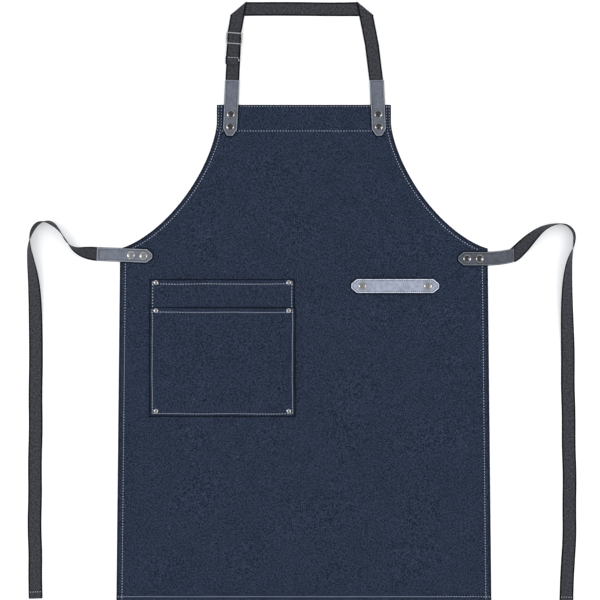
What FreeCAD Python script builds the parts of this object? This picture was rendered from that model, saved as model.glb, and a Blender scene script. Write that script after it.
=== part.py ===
import FreeCAD, Part
import math
import os

# A bib apron laid flat on a table, front side up, in millimetres.
# +X is to the right of the bib, +Y runs up the bib towards the neck strap, +Z points away from the table.
# The origin is on the table, below the middle of the apron's box (its free waist ties left out).

# --- driving dimensions -------------------------------------------------------------------------
HALF_LENGTH = 542.5          # from the origin to the hem, and to the top of the neck strap
APRON_LENGTH = 900.0         # hem to bib top
CENTRE_X = -3.5              # centre line of bib and skirt
BIB_HALF = 156.5             # half widths of the bib, at the waist and at the hem
WAIST_HALF = 330.8
HEM_HALF = 337.5
ARMHOLE_TOP = 328.3          # where the bib's straight sides end
ARMHOLE_REACH = 187.7        # half axes and power of the superellipse that the armhole follows
ARMHOLE_DROP = 231.75
ARMHOLE_POWER = 1.559
ARMHOLE_CROWDING = 1.6       # how much closer the curve's points lie near the waist

CLOTH = 0.8                  # denim, one layer
SIDE_HEM = 12.0
BOTTOM_HEM = 17.0
HEM_INSET = 1.0              # the bottom hem stops this far inside the side hems' outer edges
FACING_DEPTH = 46.0
BINDING = 8.0
BINDING_GAP = 0.5            # between the facing and each armhole's binding

WEB_W = 25.0                 # webbing of strap and ties
WEB_T = 1.2
LEATHER_T = 2.0

TAB_LENGTH = 101.0
NECK_TAB_W = 26.0
WAIST_TAB_W = 25.0
NECK_TAB_CHAMFER = (12.5, 7.6)   # along the tab, and across it
WAIST_TAB_CHAMFER = (10.5, 8.8)
NECK_TAB_ANGLE = 87.43       # the left neck tab and all that follows its line, from +X
WAIST_TAB_TILT = 2.25        # the left waist tab rises inwards by this angle
WAIST_TAB_BEND = 6.3         # the right waist tab's outer end drifts up by this much
CAP_FROM_TIP = 16.5
CAP_SPACING = 22.5
HELD_START = 12.0            # the webbing under a tab starts this far from the tab's tip
HELD_NECK_END = 110.0        # past the fold line, where it is cut

POCKET_X = -150.2
POCKET_BOTTOM = -200.7
POCKET_BACK_TOP = 42.3
POCKET_FRONT_TOP = -8.1
POCKET_HALF = 129.0
FRONT_MARGIN = 1.0           # the front layer is this much wider and its slopes start this much further out
POCKET_FLANGE = 15.0
POCKET_RAMP = 25.0
POCKET_GAP = 4.4             # height of each pocket's mouth
POCKET_RIVET_X = 119.5
MOUTH_TO_RIVET = 4.6
BOTTOM_TO_RIVET = 7.2

LOOP_X = 160.7
LOOP_Y = 31.5
LOOP_HALF = 79.5
LOOP_W = 26.0
LOOP_GAP = 4.4
LOOP_FOOT = 30.0             # flat riveted end, then the slope up to the raised middle
LOOP_RAMP = 16.0
LOOP_CHAMFER = (10.8, 9.0)
LOOP_RIVET_X = 59.0

CAP_R = 7.5
CAP_H = 3.2
CAP_RIM = 0.7
CAP_ROUNDING = 1.4
POST_R = 2.0
PLATE_R = 5.0
SMALL_CAP_R = 4.0
SMALL_CAP_H = 1.6
SMALL_CAP_RIM = 0.3
SMALL_CAP_ROUNDING = 0.8
SMALL_POST_R = 1.2
SMALL_PLATE_R = 3.4
FIT = 0.05                   # clearance between a post and its hole

HINGE_Y = 403.0              # fold line of the neck strap, just above the two neck tabs
HINGE_GAP = 0.3

SLIDER_S = 175.5             # distances along the left tab's line, from its tip
TAIL_END_S = 129.4
TAIL_HEM_S = 142.3
LEG_BEND_S = 188.0
LANDING_S = 122.0            # the slider's webbing has come down to the table here
BELOW_FOLD_S = 90.0
SLIDER_TRAVEL = 18.0
SEAM = 9.0                   # sewn length of the eye's doubled webbing
BAR_R = 0.9
PLAY = 0.3
SLIDER_HALF = 15.0
SLIDER_PLATE = 1.6
RAIL_REACH = 9.4             # from the bar to each rail, along the strap
PLATE_FOOT = 1.4             # half width of a side plate's lower edge
SLIDER_TURN = -4.2

LEFT_LEG = ((-123.7, 513.9), 0.1745)      # a centre point of the upper left leg, and its slope
RIGHT_LEG = ((109.3, 513.9), -0.1955)
RIGHT_KNEE = (118.8, 465.3)               # the right leg bends slightly here
RIGHT_FOOT = (126.4, HINGE_Y + HINGE_GAP)
STEP_DOWN = 12.0             # height of the strap's short slope above the slider

# --- levels above the table ----------------------------------------------------------------------
PANEL_Z = CLOTH              # the turned-under layer lies below the panel
PANEL_TOP = PANEL_Z + CLOTH
WEB_TOP = PANEL_TOP + WEB_T
TAB_TOP = WEB_TOP + LEATHER_T
LOOP_TOP = PANEL_TOP + LEATHER_T
LEG_Z = PANEL_TOP            # both legs leave the tabs and cross the band at this level
EYE_TOP_Z = WEB_T + 2 * PLAY + 2 * BAR_R
STRAP_Z = EYE_TOP_Z + WEB_T + 0.2
RAIL_Z = STRAP_Z + WEB_T + PLAY + BAR_R

BIB_TOP = APRON_LENGTH - HALF_LENGTH
FACING_LOW = BIB_TOP - FACING_DEPTH
BAND_TOP = HALF_LENGTH
BAND_BOTTOM = BAND_TOP - WEB_W
BIG = 1000.0                 # size of the blocks that cut things off
TURN = 0.45                  # share of the shorter run that a turn's arc takes


# --- small helpers -------------------------------------------------------------------------------
def vec(x, y, z=0.0):
    return FreeCAD.Vector(x, y, z)


def unit(angle):
    """Unit vector in the table's plane at an angle in degrees from +X."""
    return vec(math.cos(math.radians(angle)), math.sin(math.radians(angle)))


def prism(points, z, height):
    """Upright prism on a closed outline of (x, y) corners."""
    corners = [vec(x, y, z) for x, y in points]
    return Part.Face(Part.makePolygon(corners + corners[:1])).extrude(vec(0, 0, height))


def profile_along_y(points, y, length):
    """Prism on an outline of (x, z) corners, running along +Y."""
    corners = [vec(x, y, z) for x, z in points]
    return Part.Face(Part.makePolygon(corners + corners[:1])).extrude(vec(0, length, 0))


def upright(x, y, z, radius, height):
    return Part.makeCylinder(radius, height, vec(x, y, z))


def drilled(shape, places, radius):
    """Cut a round hole through the shape at each (x, y) place."""
    for x, y in places:
        shape = shape.cut(upright(x, y, -BIG / 2, radius, BIG))
    return shape


def save(name, shape):
    shape.exportStep(f"parts/{name}.step")
    solids = len(shape.Solids)
    print(f"{name}: {solids} solid(s), valid {shape.isValid()}, {shape.Volume / 1000:.2f} cm3")


# --- apron cloth ---------------------------------------------------------------------------------
def armhole_half(y):
    """Half width of the apron at height y on the armhole."""
    t = min(max((ARMHOLE_TOP - y) / ARMHOLE_DROP, 0.0), 1.0)
    return BIB_HALF + ARMHOLE_REACH * (1 - (1 - t ** ARMHOLE_POWER) ** (1 / ARMHOLE_POWER))


def waist_y():
    """Height at which the armhole reaches the waist's half width."""
    share = (WAIST_HALF - BIB_HALF) / ARMHOLE_REACH
    t = (1 - (1 - share) ** ARMHOLE_POWER) ** (1 / ARMHOLE_POWER)
    return ARMHOLE_TOP - t * ARMHOLE_DROP


WAIST_Y = waist_y()


def armhole_points(side, inset, top, count=14):
    """Points down the armhole, closer together near the waist, moved in by inset along the normal."""
    points = []
    for i in range(count):
        share = 1 - (1 - i / (count - 1)) ** ARMHOLE_CROWDING
        y = top + (WAIST_Y - top) * share
        step = 0.05
        slope = (armhole_half(y - step) - armhole_half(y)) / step
        size = math.hypot(1.0, slope)
        x = armhole_half(y) - inset / size
        points.append(vec(CENTRE_X + side * x, y - inset * slope / size, 0))
    return points


def curve(points, z):
    raised = [vec(p.x, p.y, z) for p in points]
    spline = Part.BSplineCurve()
    spline.interpolate(raised)
    return spline.toShape()


def line(a, b, z):
    return Part.LineSegment(vec(a.x, a.y, z), vec(b.x, b.y, z)).toShape()


def apron_panel(rivets, pocket_rivets):
    """Bib and skirt in one cloth, its hems turned under and cut back round the rivets' back plates."""
    left = armhole_points(-1, 0, ARMHOLE_TOP)
    right = armhole_points(1, 0, ARMHOLE_TOP)
    top_left = vec(CENTRE_X - BIB_HALF, BIB_TOP)
    top_right = vec(CENTRE_X + BIB_HALF, BIB_TOP)
    hem_left = vec(CENTRE_X - HEM_HALF, -HALF_LENGTH)
    hem_right = vec(CENTRE_X + HEM_HALF, -HALF_LENGTH)
    edges = [
        line(top_left, top_right, PANEL_Z),
        line(top_right, right[0], PANEL_Z),
        curve(right, PANEL_Z),
        line(right[-1], hem_right, PANEL_Z),
        line(hem_right, hem_left, PANEL_Z),
        line(hem_left, left[-1], PANEL_Z),
        curve(left, PANEL_Z),
        line(left[0], top_left, PANEL_Z),
    ]
    outline = Part.Wire(Part.__sortEdges__(edges))
    panel = Part.Face(outline).extrude(vec(0, 0, CLOTH))
    hem_top = WAIST_Y - BINDING
    top_half = WAIST_HALF + (HEM_HALF - WAIST_HALF) * BINDING / (WAIST_Y + HALF_LENGTH)
    for side in (-1, 1):
        strip = [
            (CENTRE_X + side * top_half, hem_top),
            (CENTRE_X + side * HEM_HALF, -HALF_LENGTH),
            (CENTRE_X + side * (HEM_HALF - SIDE_HEM), -HALF_LENGTH),
            (CENTRE_X + side * (top_half - SIDE_HEM), hem_top),
        ]
        panel = panel.fuse(prism(strip, 0, PANEL_Z))
    inner = HEM_HALF - HEM_INSET
    bottom = [
        (CENTRE_X - inner, -HALF_LENGTH),
        (CENTRE_X + inner, -HALF_LENGTH),
        (CENTRE_X + inner, -HALF_LENGTH + BOTTOM_HEM),
        (CENTRE_X - inner, -HALF_LENGTH + BOTTOM_HEM),
    ]
    panel = panel.fuse(prism(bottom, 0, PANEL_Z)).removeSplitter()
    for x, y in rivets:
        panel = panel.cut(upright(x, y, 0, PLATE_R + FIT, PANEL_Z))
    panel = drilled(panel, rivets, POST_R + FIT)
    return drilled(panel, pocket_rivets, SMALL_POST_R + FIT)


def bib_facing(rivets):
    """Deep facing behind the bib's top; the rivets' back plates are pressed into it."""
    corner = vec(CENTRE_X - BIB_HALF, FACING_LOW)
    facing = Part.makeBox(2 * BIB_HALF, FACING_DEPTH, PANEL_Z, corner)
    return drilled(facing, rivets, PLATE_R + FIT)


def armhole_binding(side):
    """Narrow tape behind the armhole, from the facing down to the waist."""
    start = FACING_LOW - BINDING_GAP
    outer = armhole_points(side, 0.0, start)
    inner = armhole_points(side, BINDING, start)
    edges = [
        curve(outer, 0),
        line(outer[-1], inner[-1], 0),
        curve(inner, 0),
        line(inner[0], outer[0], 0),
    ]
    tape = Part.Face(Part.Wire(Part.__sortEdges__(edges))).extrude(vec(0, 0, PANEL_Z))
    return tape.cut(Part.makeBox(BIG, BIG, BIG, vec(-BIG / 2, start, -BIG / 2)))


# --- pockets -------------------------------------------------------------------------------------
def pouch(base, half, bottom, top, rise, ramp_start):
    """Sewn-down sides, with the middle standing rise above the base level."""
    flat = ramp_start - POCKET_RAMP
    right = [(flat, base + rise), (ramp_start, base), (half, base)]
    under = [(-x, z) for x, z in reversed(right)] + right
    over = [(x, z + CLOTH) for x, z in reversed(under)]
    section = [(POCKET_X + x, z) for x, z in under + over]
    return profile_along_y(section, bottom, top - bottom)


def pouch_floor(base, half, y, depth, height, ramp_start):
    """Closed lower end of a pouch, from the base level up to the pouch's outside."""
    flat = ramp_start - POCKET_RAMP
    right = [(half, base), (half, base + CLOTH), (ramp_start, base + CLOTH), (flat, base + height)]
    left = [(-x, z) for x, z in reversed(right)]
    section = [(POCKET_X + x, z) for x, z in right + left]
    return profile_along_y(section, y, depth)


def pocket_back(rivets):
    start = POCKET_HALF - POCKET_FLANGE - FRONT_MARGIN
    cloth = pouch(PANEL_TOP, POCKET_HALF, POCKET_BOTTOM, POCKET_BACK_TOP, POCKET_GAP, start)
    end = pouch_floor(PANEL_TOP, POCKET_HALF, POCKET_BOTTOM, 2 * CLOTH, POCKET_GAP + CLOTH, start)
    return drilled(cloth.fuse(end).removeSplitter(), rivets, SMALL_POST_R + FIT)


def pocket_front(rivets):
    """Second layer, sewn over the first; its lower end closes just outside the first layer's."""
    start = POCKET_HALF - POCKET_FLANGE + FRONT_MARGIN
    half = POCKET_HALF + FRONT_MARGIN
    base = PANEL_TOP + CLOTH
    rise = 2 * POCKET_GAP
    low = POCKET_BOTTOM - 2 * CLOTH
    cloth = pouch(base, half, low, POCKET_FRONT_TOP, rise, start)
    end = pouch_floor(PANEL_TOP, half, low, 1.5 * CLOTH, rise + 2 * CLOTH, start)
    return drilled(cloth.fuse(end).removeSplitter(), rivets, SMALL_POST_R + FIT)


# --- leather -------------------------------------------------------------------------------------
class Tab:
    """A strip that points from its tip at (x, y) along angle; its last half may bend sideways."""

    def __init__(self, x, y, angle, chamfer, bend=0.0):
        self.tip = vec(x, y)
        self.along = unit(angle)
        self.across = unit(angle + 90)
        self.chamfer = chamfer
        self.bend = bend

    def place(self, s, t):
        """Point s along the strip from its tip and t to its left."""
        p = self.tip + self.along * s + self.across * t
        return (p.x, p.y)

    def caps(self):
        return [self.place(CAP_FROM_TIP + i * CAP_SPACING, 0) for i in range(2)]

    def drift(self, s):
        """Sideways shift of the centre line at s: nothing up to the middle, then a parabola."""
        half = TAB_LENGTH / 2
        return self.bend * max(0.0, (s - half) / half) ** 2

    def outline(self, width, start=0.0, steps=6):
        """Corners of the strip: chamfered tip, straight half, and the half that may bend."""
        cut_s, cut_t = self.chamfer
        half = width / 2
        stations = [TAB_LENGTH / 2]
        if self.bend:
            stations += [TAB_LENGTH * (0.5 + 0.5 * (i + 1) / steps) for i in range(steps)]
        else:
            stations = [TAB_LENGTH]
        right = [(s, self.drift(s) - half) for s in stations]
        left = [(s, self.drift(s) + half) for s in reversed(stations)]
        if start:
            tip = [(start, half), (start, -half)]
        else:
            tip = [(cut_s, half), (0, half - cut_t), (0, cut_t - half), (cut_s, -half)]
        return [self.place(s, t) for s, t in tip + right + left]


def leather_tab(tab, width):
    return drilled(prism(tab.outline(width), WEB_TOP, LEATHER_T), tab.caps(), POST_R + FIT)


def held_webbing(tab):
    """The webbing that is riveted under a tab, from short of the tip to the tab's open end."""
    strip = prism(tab.outline(WEB_W, start=HELD_START), PANEL_TOP, WEB_T)
    return drilled(strip, tab.caps(), POST_R + FIT)


def held_neck_webbing(tab):
    """The same for a neck tab, where the webbing runs on to the fold line."""
    half = WEB_W / 2
    corners = [(HELD_START, half), (HELD_START, -half), (HELD_NECK_END, -half), (HELD_NECK_END, half)]
    strip = prism([tab.place(s, t) for s, t in corners], PANEL_TOP, WEB_T)
    above = Part.makeBox(BIG, BIG, BIG, vec(-BIG / 2, HINGE_Y - HINGE_GAP, -BIG / 2))
    return drilled(strip.cut(above), tab.caps(), POST_R + FIT)


def towel_loop():
    """Leather strip riveted at both ends, with its middle standing off the panel."""
    foot = LOOP_HALF - LOOP_FOOT
    raised = foot - LOOP_RAMP
    right = [(raised, LOOP_GAP), (foot, 0), (LOOP_HALF, 0)]
    under = [(-x, z) for x, z in reversed(right)] + right
    over = [(x, z + LEATHER_T) for x, z in reversed(under)]
    section = [(LOOP_X + x, PANEL_TOP + z) for x, z in under + over]
    strip = profile_along_y(section, LOOP_Y - LOOP_W / 2, LOOP_W)
    cut_x, cut_y = LOOP_CHAMFER
    half = LOOP_W / 2
    end = [
        (LOOP_HALF - cut_x, -half),
        (LOOP_HALF, cut_y - half),
        (LOOP_HALF, half - cut_y),
        (LOOP_HALF - cut_x, half),
    ]
    plan = [(LOOP_X + side * x, LOOP_Y + side * y) for side in (-1, 1) for x, y in end]
    return drilled(strip.common(prism(plan, 0, BIG)), loop_rivets(), POST_R + FIT)


def loop_rivets():
    return [(LOOP_X - LOOP_RIVET_X, LOOP_Y), (LOOP_X + LOOP_RIVET_X, LOOP_Y)]


# --- rivets --------------------------------------------------------------------------------------
def cap(x, y, z, radius, height, rim, rounding):
    """Domed cap, flat below: an upright rim, a rounded shoulder and a spherical crown that meets it."""
    core = radius - rounding
    drop = height - rim - rounding
    centre_z = height - (core ** 2 + (height - rim) ** 2 - rounding ** 2) / (2 * drop)
    sphere = height - centre_z
    lean = math.atan2(core, rim - centre_z)
    joint = vec(sphere * math.sin(lean), 0, centre_z + sphere * math.cos(lean))
    half_lean = lean + (math.pi / 2 - lean) / 2
    shoulder = vec(core + rounding * math.sin(half_lean), 0, rim + rounding * math.cos(half_lean))
    upper = vec(sphere * math.sin(lean / 2), 0, centre_z + sphere * math.cos(lean / 2))
    edge = vec(radius, 0, rim)
    crown = vec(0, 0, height)
    outline = Part.Wire(
        [
            Part.LineSegment(vec(0, 0, 0), vec(radius, 0, 0)).toShape(),
            Part.LineSegment(vec(radius, 0, 0), edge).toShape(),
            Part.Arc(edge, shoulder, joint).toShape(),
            Part.Arc(joint, upper, crown).toShape(),
            Part.LineSegment(crown, vec(0, 0, 0)).toShape(),
        ]
    )
    dome = Part.Face(outline).revolve(vec(0, 0, 0), vec(0, 0, 1), 360)
    dome.translate(vec(x, y, z))
    return dome


def post(x, y, top, radius, plate):
    """Back plate below the panel and the post that stands on it, up to the cap."""
    return upright(x, y, 0, plate, PANEL_Z).fuse(upright(x, y, 0, radius, top)).removeSplitter()


# --- webbing -------------------------------------------------------------------------------------
def section_wire(centre, along, roll, width, lean_left):
    """Webbing's cross section; roll lifts one edge, on the left of the way if lean_left is set."""
    side = vec(-along.y, along.x, 0).normalize()
    if not lean_left:
        side = side * -1
    angle = math.radians(roll)
    wide = side * math.cos(angle) + vec(0, 0, 1) * math.sin(angle)
    thick = side * -math.sin(angle) + vec(0, 0, 1) * math.cos(angle)
    a = wide * (width / 2)
    b = thick * (WEB_T / 2)
    corners = [centre + a + b, centre - a + b, centre - a - b, centre + a - b]
    return Part.makePolygon(corners + corners[:1])


def flat_strap(stations, thickness=WEB_T):
    """Solid webbing through (left point, right point, z below it) stations, walled with triangles."""
    rings = []
    for left, right, z in stations:
        low = [vec(left[0], left[1], z), vec(right[0], right[1], z)]
        rings.append(low + [p + vec(0, 0, thickness) for p in reversed(low)])
    triangles = [rings[0][:3], [rings[0][0], *rings[0][2:]], rings[-1][:3], [rings[-1][0], *rings[-1][2:]]]
    for ring, following in zip(rings, rings[1:]):
        for k in range(4):
            a, b = ring[k], ring[(k + 1) % 4]
            c, d = following[(k + 1) % 4], following[k]
            triangles += [[a, b, c], [a, c, d]]
    faces = [Part.Face(Part.makePolygon(corners + corners[:1])) for corners in triangles]
    solid = Part.Solid(Part.Shell(faces))
    if solid.Volume < 0:
        solid.reverse()
    return solid.removeSplitter()


def cross_y(centre, slope, y):
    """Both edges of a strap at height y; slope is the sideways run per unit of y."""
    half = WEB_W / 2 * math.hypot(1, slope)
    x = centre[0] + slope * (y - centre[1])
    return (x - half, y), (x + half, y)


# --- neck strap ----------------------------------------------------------------------------------
def fold_line(leg, side):
    """Ends of the 45 degree fold: band's lower edge on the leg's outside, upper edge on its inside."""
    centre, slope = leg
    lower = cross_y(centre, slope, BAND_BOTTOM)[0 if side < 0 else 1]
    upper = cross_y(centre, slope, BAND_TOP)[1 if side < 0 else 0]
    return lower, upper


def fold_wall(lower, upper, side):
    """The turn of the webbing along its fold, from under the band to the top of the leg."""
    run = vec(upper[0] - lower[0], upper[1] - lower[1]).normalize()
    inward = vec(-run.y, run.x) * (WEB_T * side)
    a = vec(*lower)
    b = vec(*upper)
    corners = [a, b, b + inward, a + inward]
    return prism([(p.x, p.y) for p in corners], 0, LEG_Z + WEB_T)


def neck_strap(tab):
    """One webbing: right leg, fold, band, fold, left leg through the slider, and its hemmed tail."""
    left_low, left_up = fold_line(LEFT_LEG, -1)
    right_low, right_up = fold_line(RIGHT_LEG, 1)
    band = flat_strap([(left_up, left_low, 0), (right_up, right_low, 0)])
    foot_slope = (RIGHT_FOOT[0] - RIGHT_KNEE[0]) / (RIGHT_FOOT[1] - RIGHT_KNEE[1])
    foot = cross_y(RIGHT_FOOT, foot_slope, RIGHT_FOOT[1])
    knee = cross_y(RIGHT_KNEE, (foot_slope + RIGHT_LEG[1]) / 2, RIGHT_KNEE[1])
    right_leg = flat_strap([(*foot, LEG_Z), (*knee, LEG_Z), (right_up, right_low, LEG_Z)])
    half = WEB_W / 2
    bend = (tab.place(LEG_BEND_S, half), tab.place(LEG_BEND_S, -half))
    landing = cross_y(*LEFT_LEG, bend[0][1] + STEP_DOWN)
    left_leg = flat_strap([(*bend, STRAP_Z), (*landing, LEG_Z), (left_low, left_up, LEG_Z)])
    tail = (tab.place(TAIL_END_S, half), tab.place(TAIL_END_S, -half))
    tail_strap = flat_strap([(*tail, STRAP_Z), (*bend, STRAP_Z)])
    hem_end = (tab.place(TAIL_HEM_S, half), tab.place(TAIL_HEM_S, -half))
    hem = flat_strap([(*tail, STRAP_Z + WEB_T), (*hem_end, STRAP_Z + WEB_T)])
    strap = band.fuse(
        [
            right_leg,
            left_leg,
            tail_strap,
            hem,
            fold_wall(left_low, left_up, -1),
            fold_wall(right_low, right_up, 1),
        ]
    )
    return strap.removeSplitter()


def slider_webbing(tab):
    """Short webbing from the fold line to the slider, doubled back round the slider's bar as an eye."""
    half = WEB_W / 2
    eye_end = SLIDER_S + BAR_R + 2 * PLAY
    eye_start = SLIDER_S - SLIDER_TRAVEL - BAR_R - 2 * PLAY

    def pair(s):
        return (tab.place(s, half), tab.place(s, -half))

    lower = flat_strap([(*pair(BELOW_FOLD_S), LEG_Z), (*pair(LANDING_S), 0), (*pair(eye_end + WEB_T), 0)])
    upper = flat_strap([(*pair(eye_start - WEB_T), EYE_TOP_Z), (*pair(eye_end + WEB_T), EYE_TOP_Z)])
    turn = flat_strap([(*pair(eye_end), 0), (*pair(eye_end + WEB_T), 0)], EYE_TOP_Z + WEB_T)
    step = flat_strap([(*pair(eye_start - WEB_T), 0), (*pair(eye_start), 0)], EYE_TOP_Z + WEB_T)
    seam_layer = flat_strap([(*pair(eye_start - SEAM), WEB_T), (*pair(eye_start), WEB_T)])
    webbing = lower.fuse([upper, turn, step, seam_layer]).removeSplitter()
    below = Part.makeBox(BIG, BIG, BIG, vec(-BIG / 2, HINGE_Y + HINGE_GAP - BIG, -BIG / 2))
    return webbing.cut(below)


def slider(tab):
    """Tri-glide: two rails over the strap, a bar in the eye, and a plate at each side."""
    bar_z = WEB_T + PLAY + BAR_R
    rod_start = SLIDER_PLATE / 2 - SLIDER_HALF
    body = Part.makeCylinder(BAR_R, -2 * rod_start, vec(rod_start, 0, bar_z), vec(1, 0, 0))
    for y in (-RAIL_REACH, RAIL_REACH):
        body = body.fuse(Part.makeCylinder(BAR_R, -2 * rod_start, vec(rod_start, y, RAIL_Z), vec(1, 0, 0)))
    reach = RAIL_REACH + BAR_R
    high = RAIL_Z + BAR_R
    side = [(-reach, high), (reach, high), (reach, RAIL_Z - BAR_R)]
    side += [(PLATE_FOOT, bar_z - BAR_R), (-PLATE_FOOT, bar_z - BAR_R), (-reach, RAIL_Z - BAR_R)]
    for x in (-SLIDER_HALF, SLIDER_HALF - SLIDER_PLATE):
        corners = [vec(x, y, z) for y, z in side]
        plate = Part.Face(Part.makePolygon(corners + corners[:1])).extrude(vec(SLIDER_PLATE, 0, 0))
        body = body.fuse(plate)
    body = body.removeSplitter()
    body.rotate(vec(0, 0, 0), vec(0, 0, 1), SLIDER_TURN)
    body.translate(vec(*tab.place(SLIDER_S, 0)))
    return body


# --- waist ties ----------------------------------------------------------------------------------
# Route points: x, y, and the roll of the webbing in degrees, 0 lying flat and 90 standing on edge.
LEFT_TIE = [
    (-397.0, 91.6, 34),
    (-415.5, 97.0, 74),
    (-429.0, 110.0, 102),
    (-441.0, 130.0, 92),
    (-457.5, 147.0, 73),
    (-478.5, 147.5, 96),
    (-492.0, 131.5, 98),
    (-497.5, 105.0, 72),
    (-493.5, 75.0, 50),
    (-489.0, 42.0, 29),
    (-486.8, 3.0, 12),
    (-486.0, -48.0, 0),
    (-485.5, -105.0, 0),
    (-486.8, -165.0, 0),
    (-485.8, -225.0, 0),
    (-487.8, -285.0, 0),
    (-487.0, -345.0, 0),
    (-488.8, -400.0, 0),
    (-486.5, -450.0, 0),
    (-487.3, -492.0, 0),
    (-486.3, -530.5, 0),
]
RIGHT_TIE = [
    (388.0, 100.5, 14),
    (403.5, 117.0, 42),
    (422.0, 133.5, 66),
    (443.0, 142.5, 84),
    (467.0, 143.5, 90),
    (482.5, 128.0, 91),
    (481.0, 104.0, 89),
    (473.5, 80.0, 62),
    (470.0, 50.0, 43),
    (469.0, 8.0, 27),
    (470.0, -38.0, 14),
    (471.8, -90.0, 0),
    (471.2, -145.0, 0),
    (473.2, -200.0, 0),
    (472.8, -255.0, 0),
    (475.0, -310.0, 0),
    (474.0, -365.0, 0),
    (474.8, -418.0, 0),
    (471.5, -468.0, 0),
    (469.5, -506.0, 0),
    (468.8, -540.0, 0),
]


def resting_height(roll):
    """Height of the webbing's centre when its lower edge lies on the table."""
    angle = math.radians(roll)
    return WEB_W / 2 * abs(math.sin(angle)) + WEB_T / 2 * abs(math.cos(angle))


def mix(a, b, share):
    return a + (b - a) * share


def tie_stations(knots, rolls):
    """Plan path of straight runs joined by tangent arcs, cut into (place, way, roll) stations."""
    stations = [(knots[0], knots[1] - knots[0], rolls[0])]
    edges = []
    radii = []
    last = knots[0]
    for i in range(1, len(knots) - 1):
        to = knots[i] - knots[i - 1]
        away = knots[i + 1] - knots[i]
        cut = TURN * min(to.Length, away.Length)
        turn = to.getAngle(away)
        radius = cut / math.tan(turn / 2)
        start = knots[i] - to * (cut / to.Length)
        end = knots[i] + away * (cut / away.Length)
        inward = (start + end) * 0.5 - knots[i]
        inward.normalize()
        middle = knots[i] + inward * (radius / math.cos(turn / 2) - radius)
        arc = Part.Arc(start, middle, end)
        edges += [Part.LineSegment(last, start).toShape(), arc.toShape()]
        radii.append(round(radius))
        roll_in = mix(rolls[i], rolls[i - 1], cut / to.Length)
        roll_out = mix(rolls[i], rolls[i + 1], cut / away.Length)
        count = max(2, math.ceil(math.degrees(turn) / 8))
        for k in range(count + 1):
            share = k / count
            place = mix(arc.FirstParameter, arc.LastParameter, share)
            roll = mix(mix(roll_in, rolls[i], share), mix(rolls[i], roll_out, share), share)
            stations.append((arc.value(place), arc.tangent(place)[0], roll))
        last = end
    edges.append(Part.LineSegment(last, knots[-1]).toShape())
    stations.append((knots[-1], knots[-1] - last, rolls[-1]))
    return stations, Part.Wire(edges).Length, radii


def waist_tie(tab, route, lean_left):
    """Free tie from the tab's open end; its lower edge comes down to the table and then rests there."""
    start = tab.place(TAB_LENGTH, tab.drift(TAB_LENGTH))
    knots = [vec(*start)] + [vec(x, y) for x, y, _ in route]
    rolls = [0] + [roll for _, _, roll in route]
    stations, length, radii = tie_stations(knots, rolls)
    stations[0] = (knots[0], tab.along, 0)
    descent = (stations[1][0] - knots[0]).Length
    wires = []
    for place, way, roll in stations:
        lift = PANEL_TOP * max(0.0, 1 - (place - knots[0]).Length / descent)
        centre = vec(place.x, place.y, resting_height(roll) + lift)
        wires.append(section_wire(centre, way, roll, WEB_W, lean_left))
    tie = Part.makeLoft(wires, True, True)
    expected = length * WEB_W * WEB_T
    print(f"tie of {length:.0f} mm, volume {tie.Volume / expected:.3f} of section x length, radii {radii}")
    return tie


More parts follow.
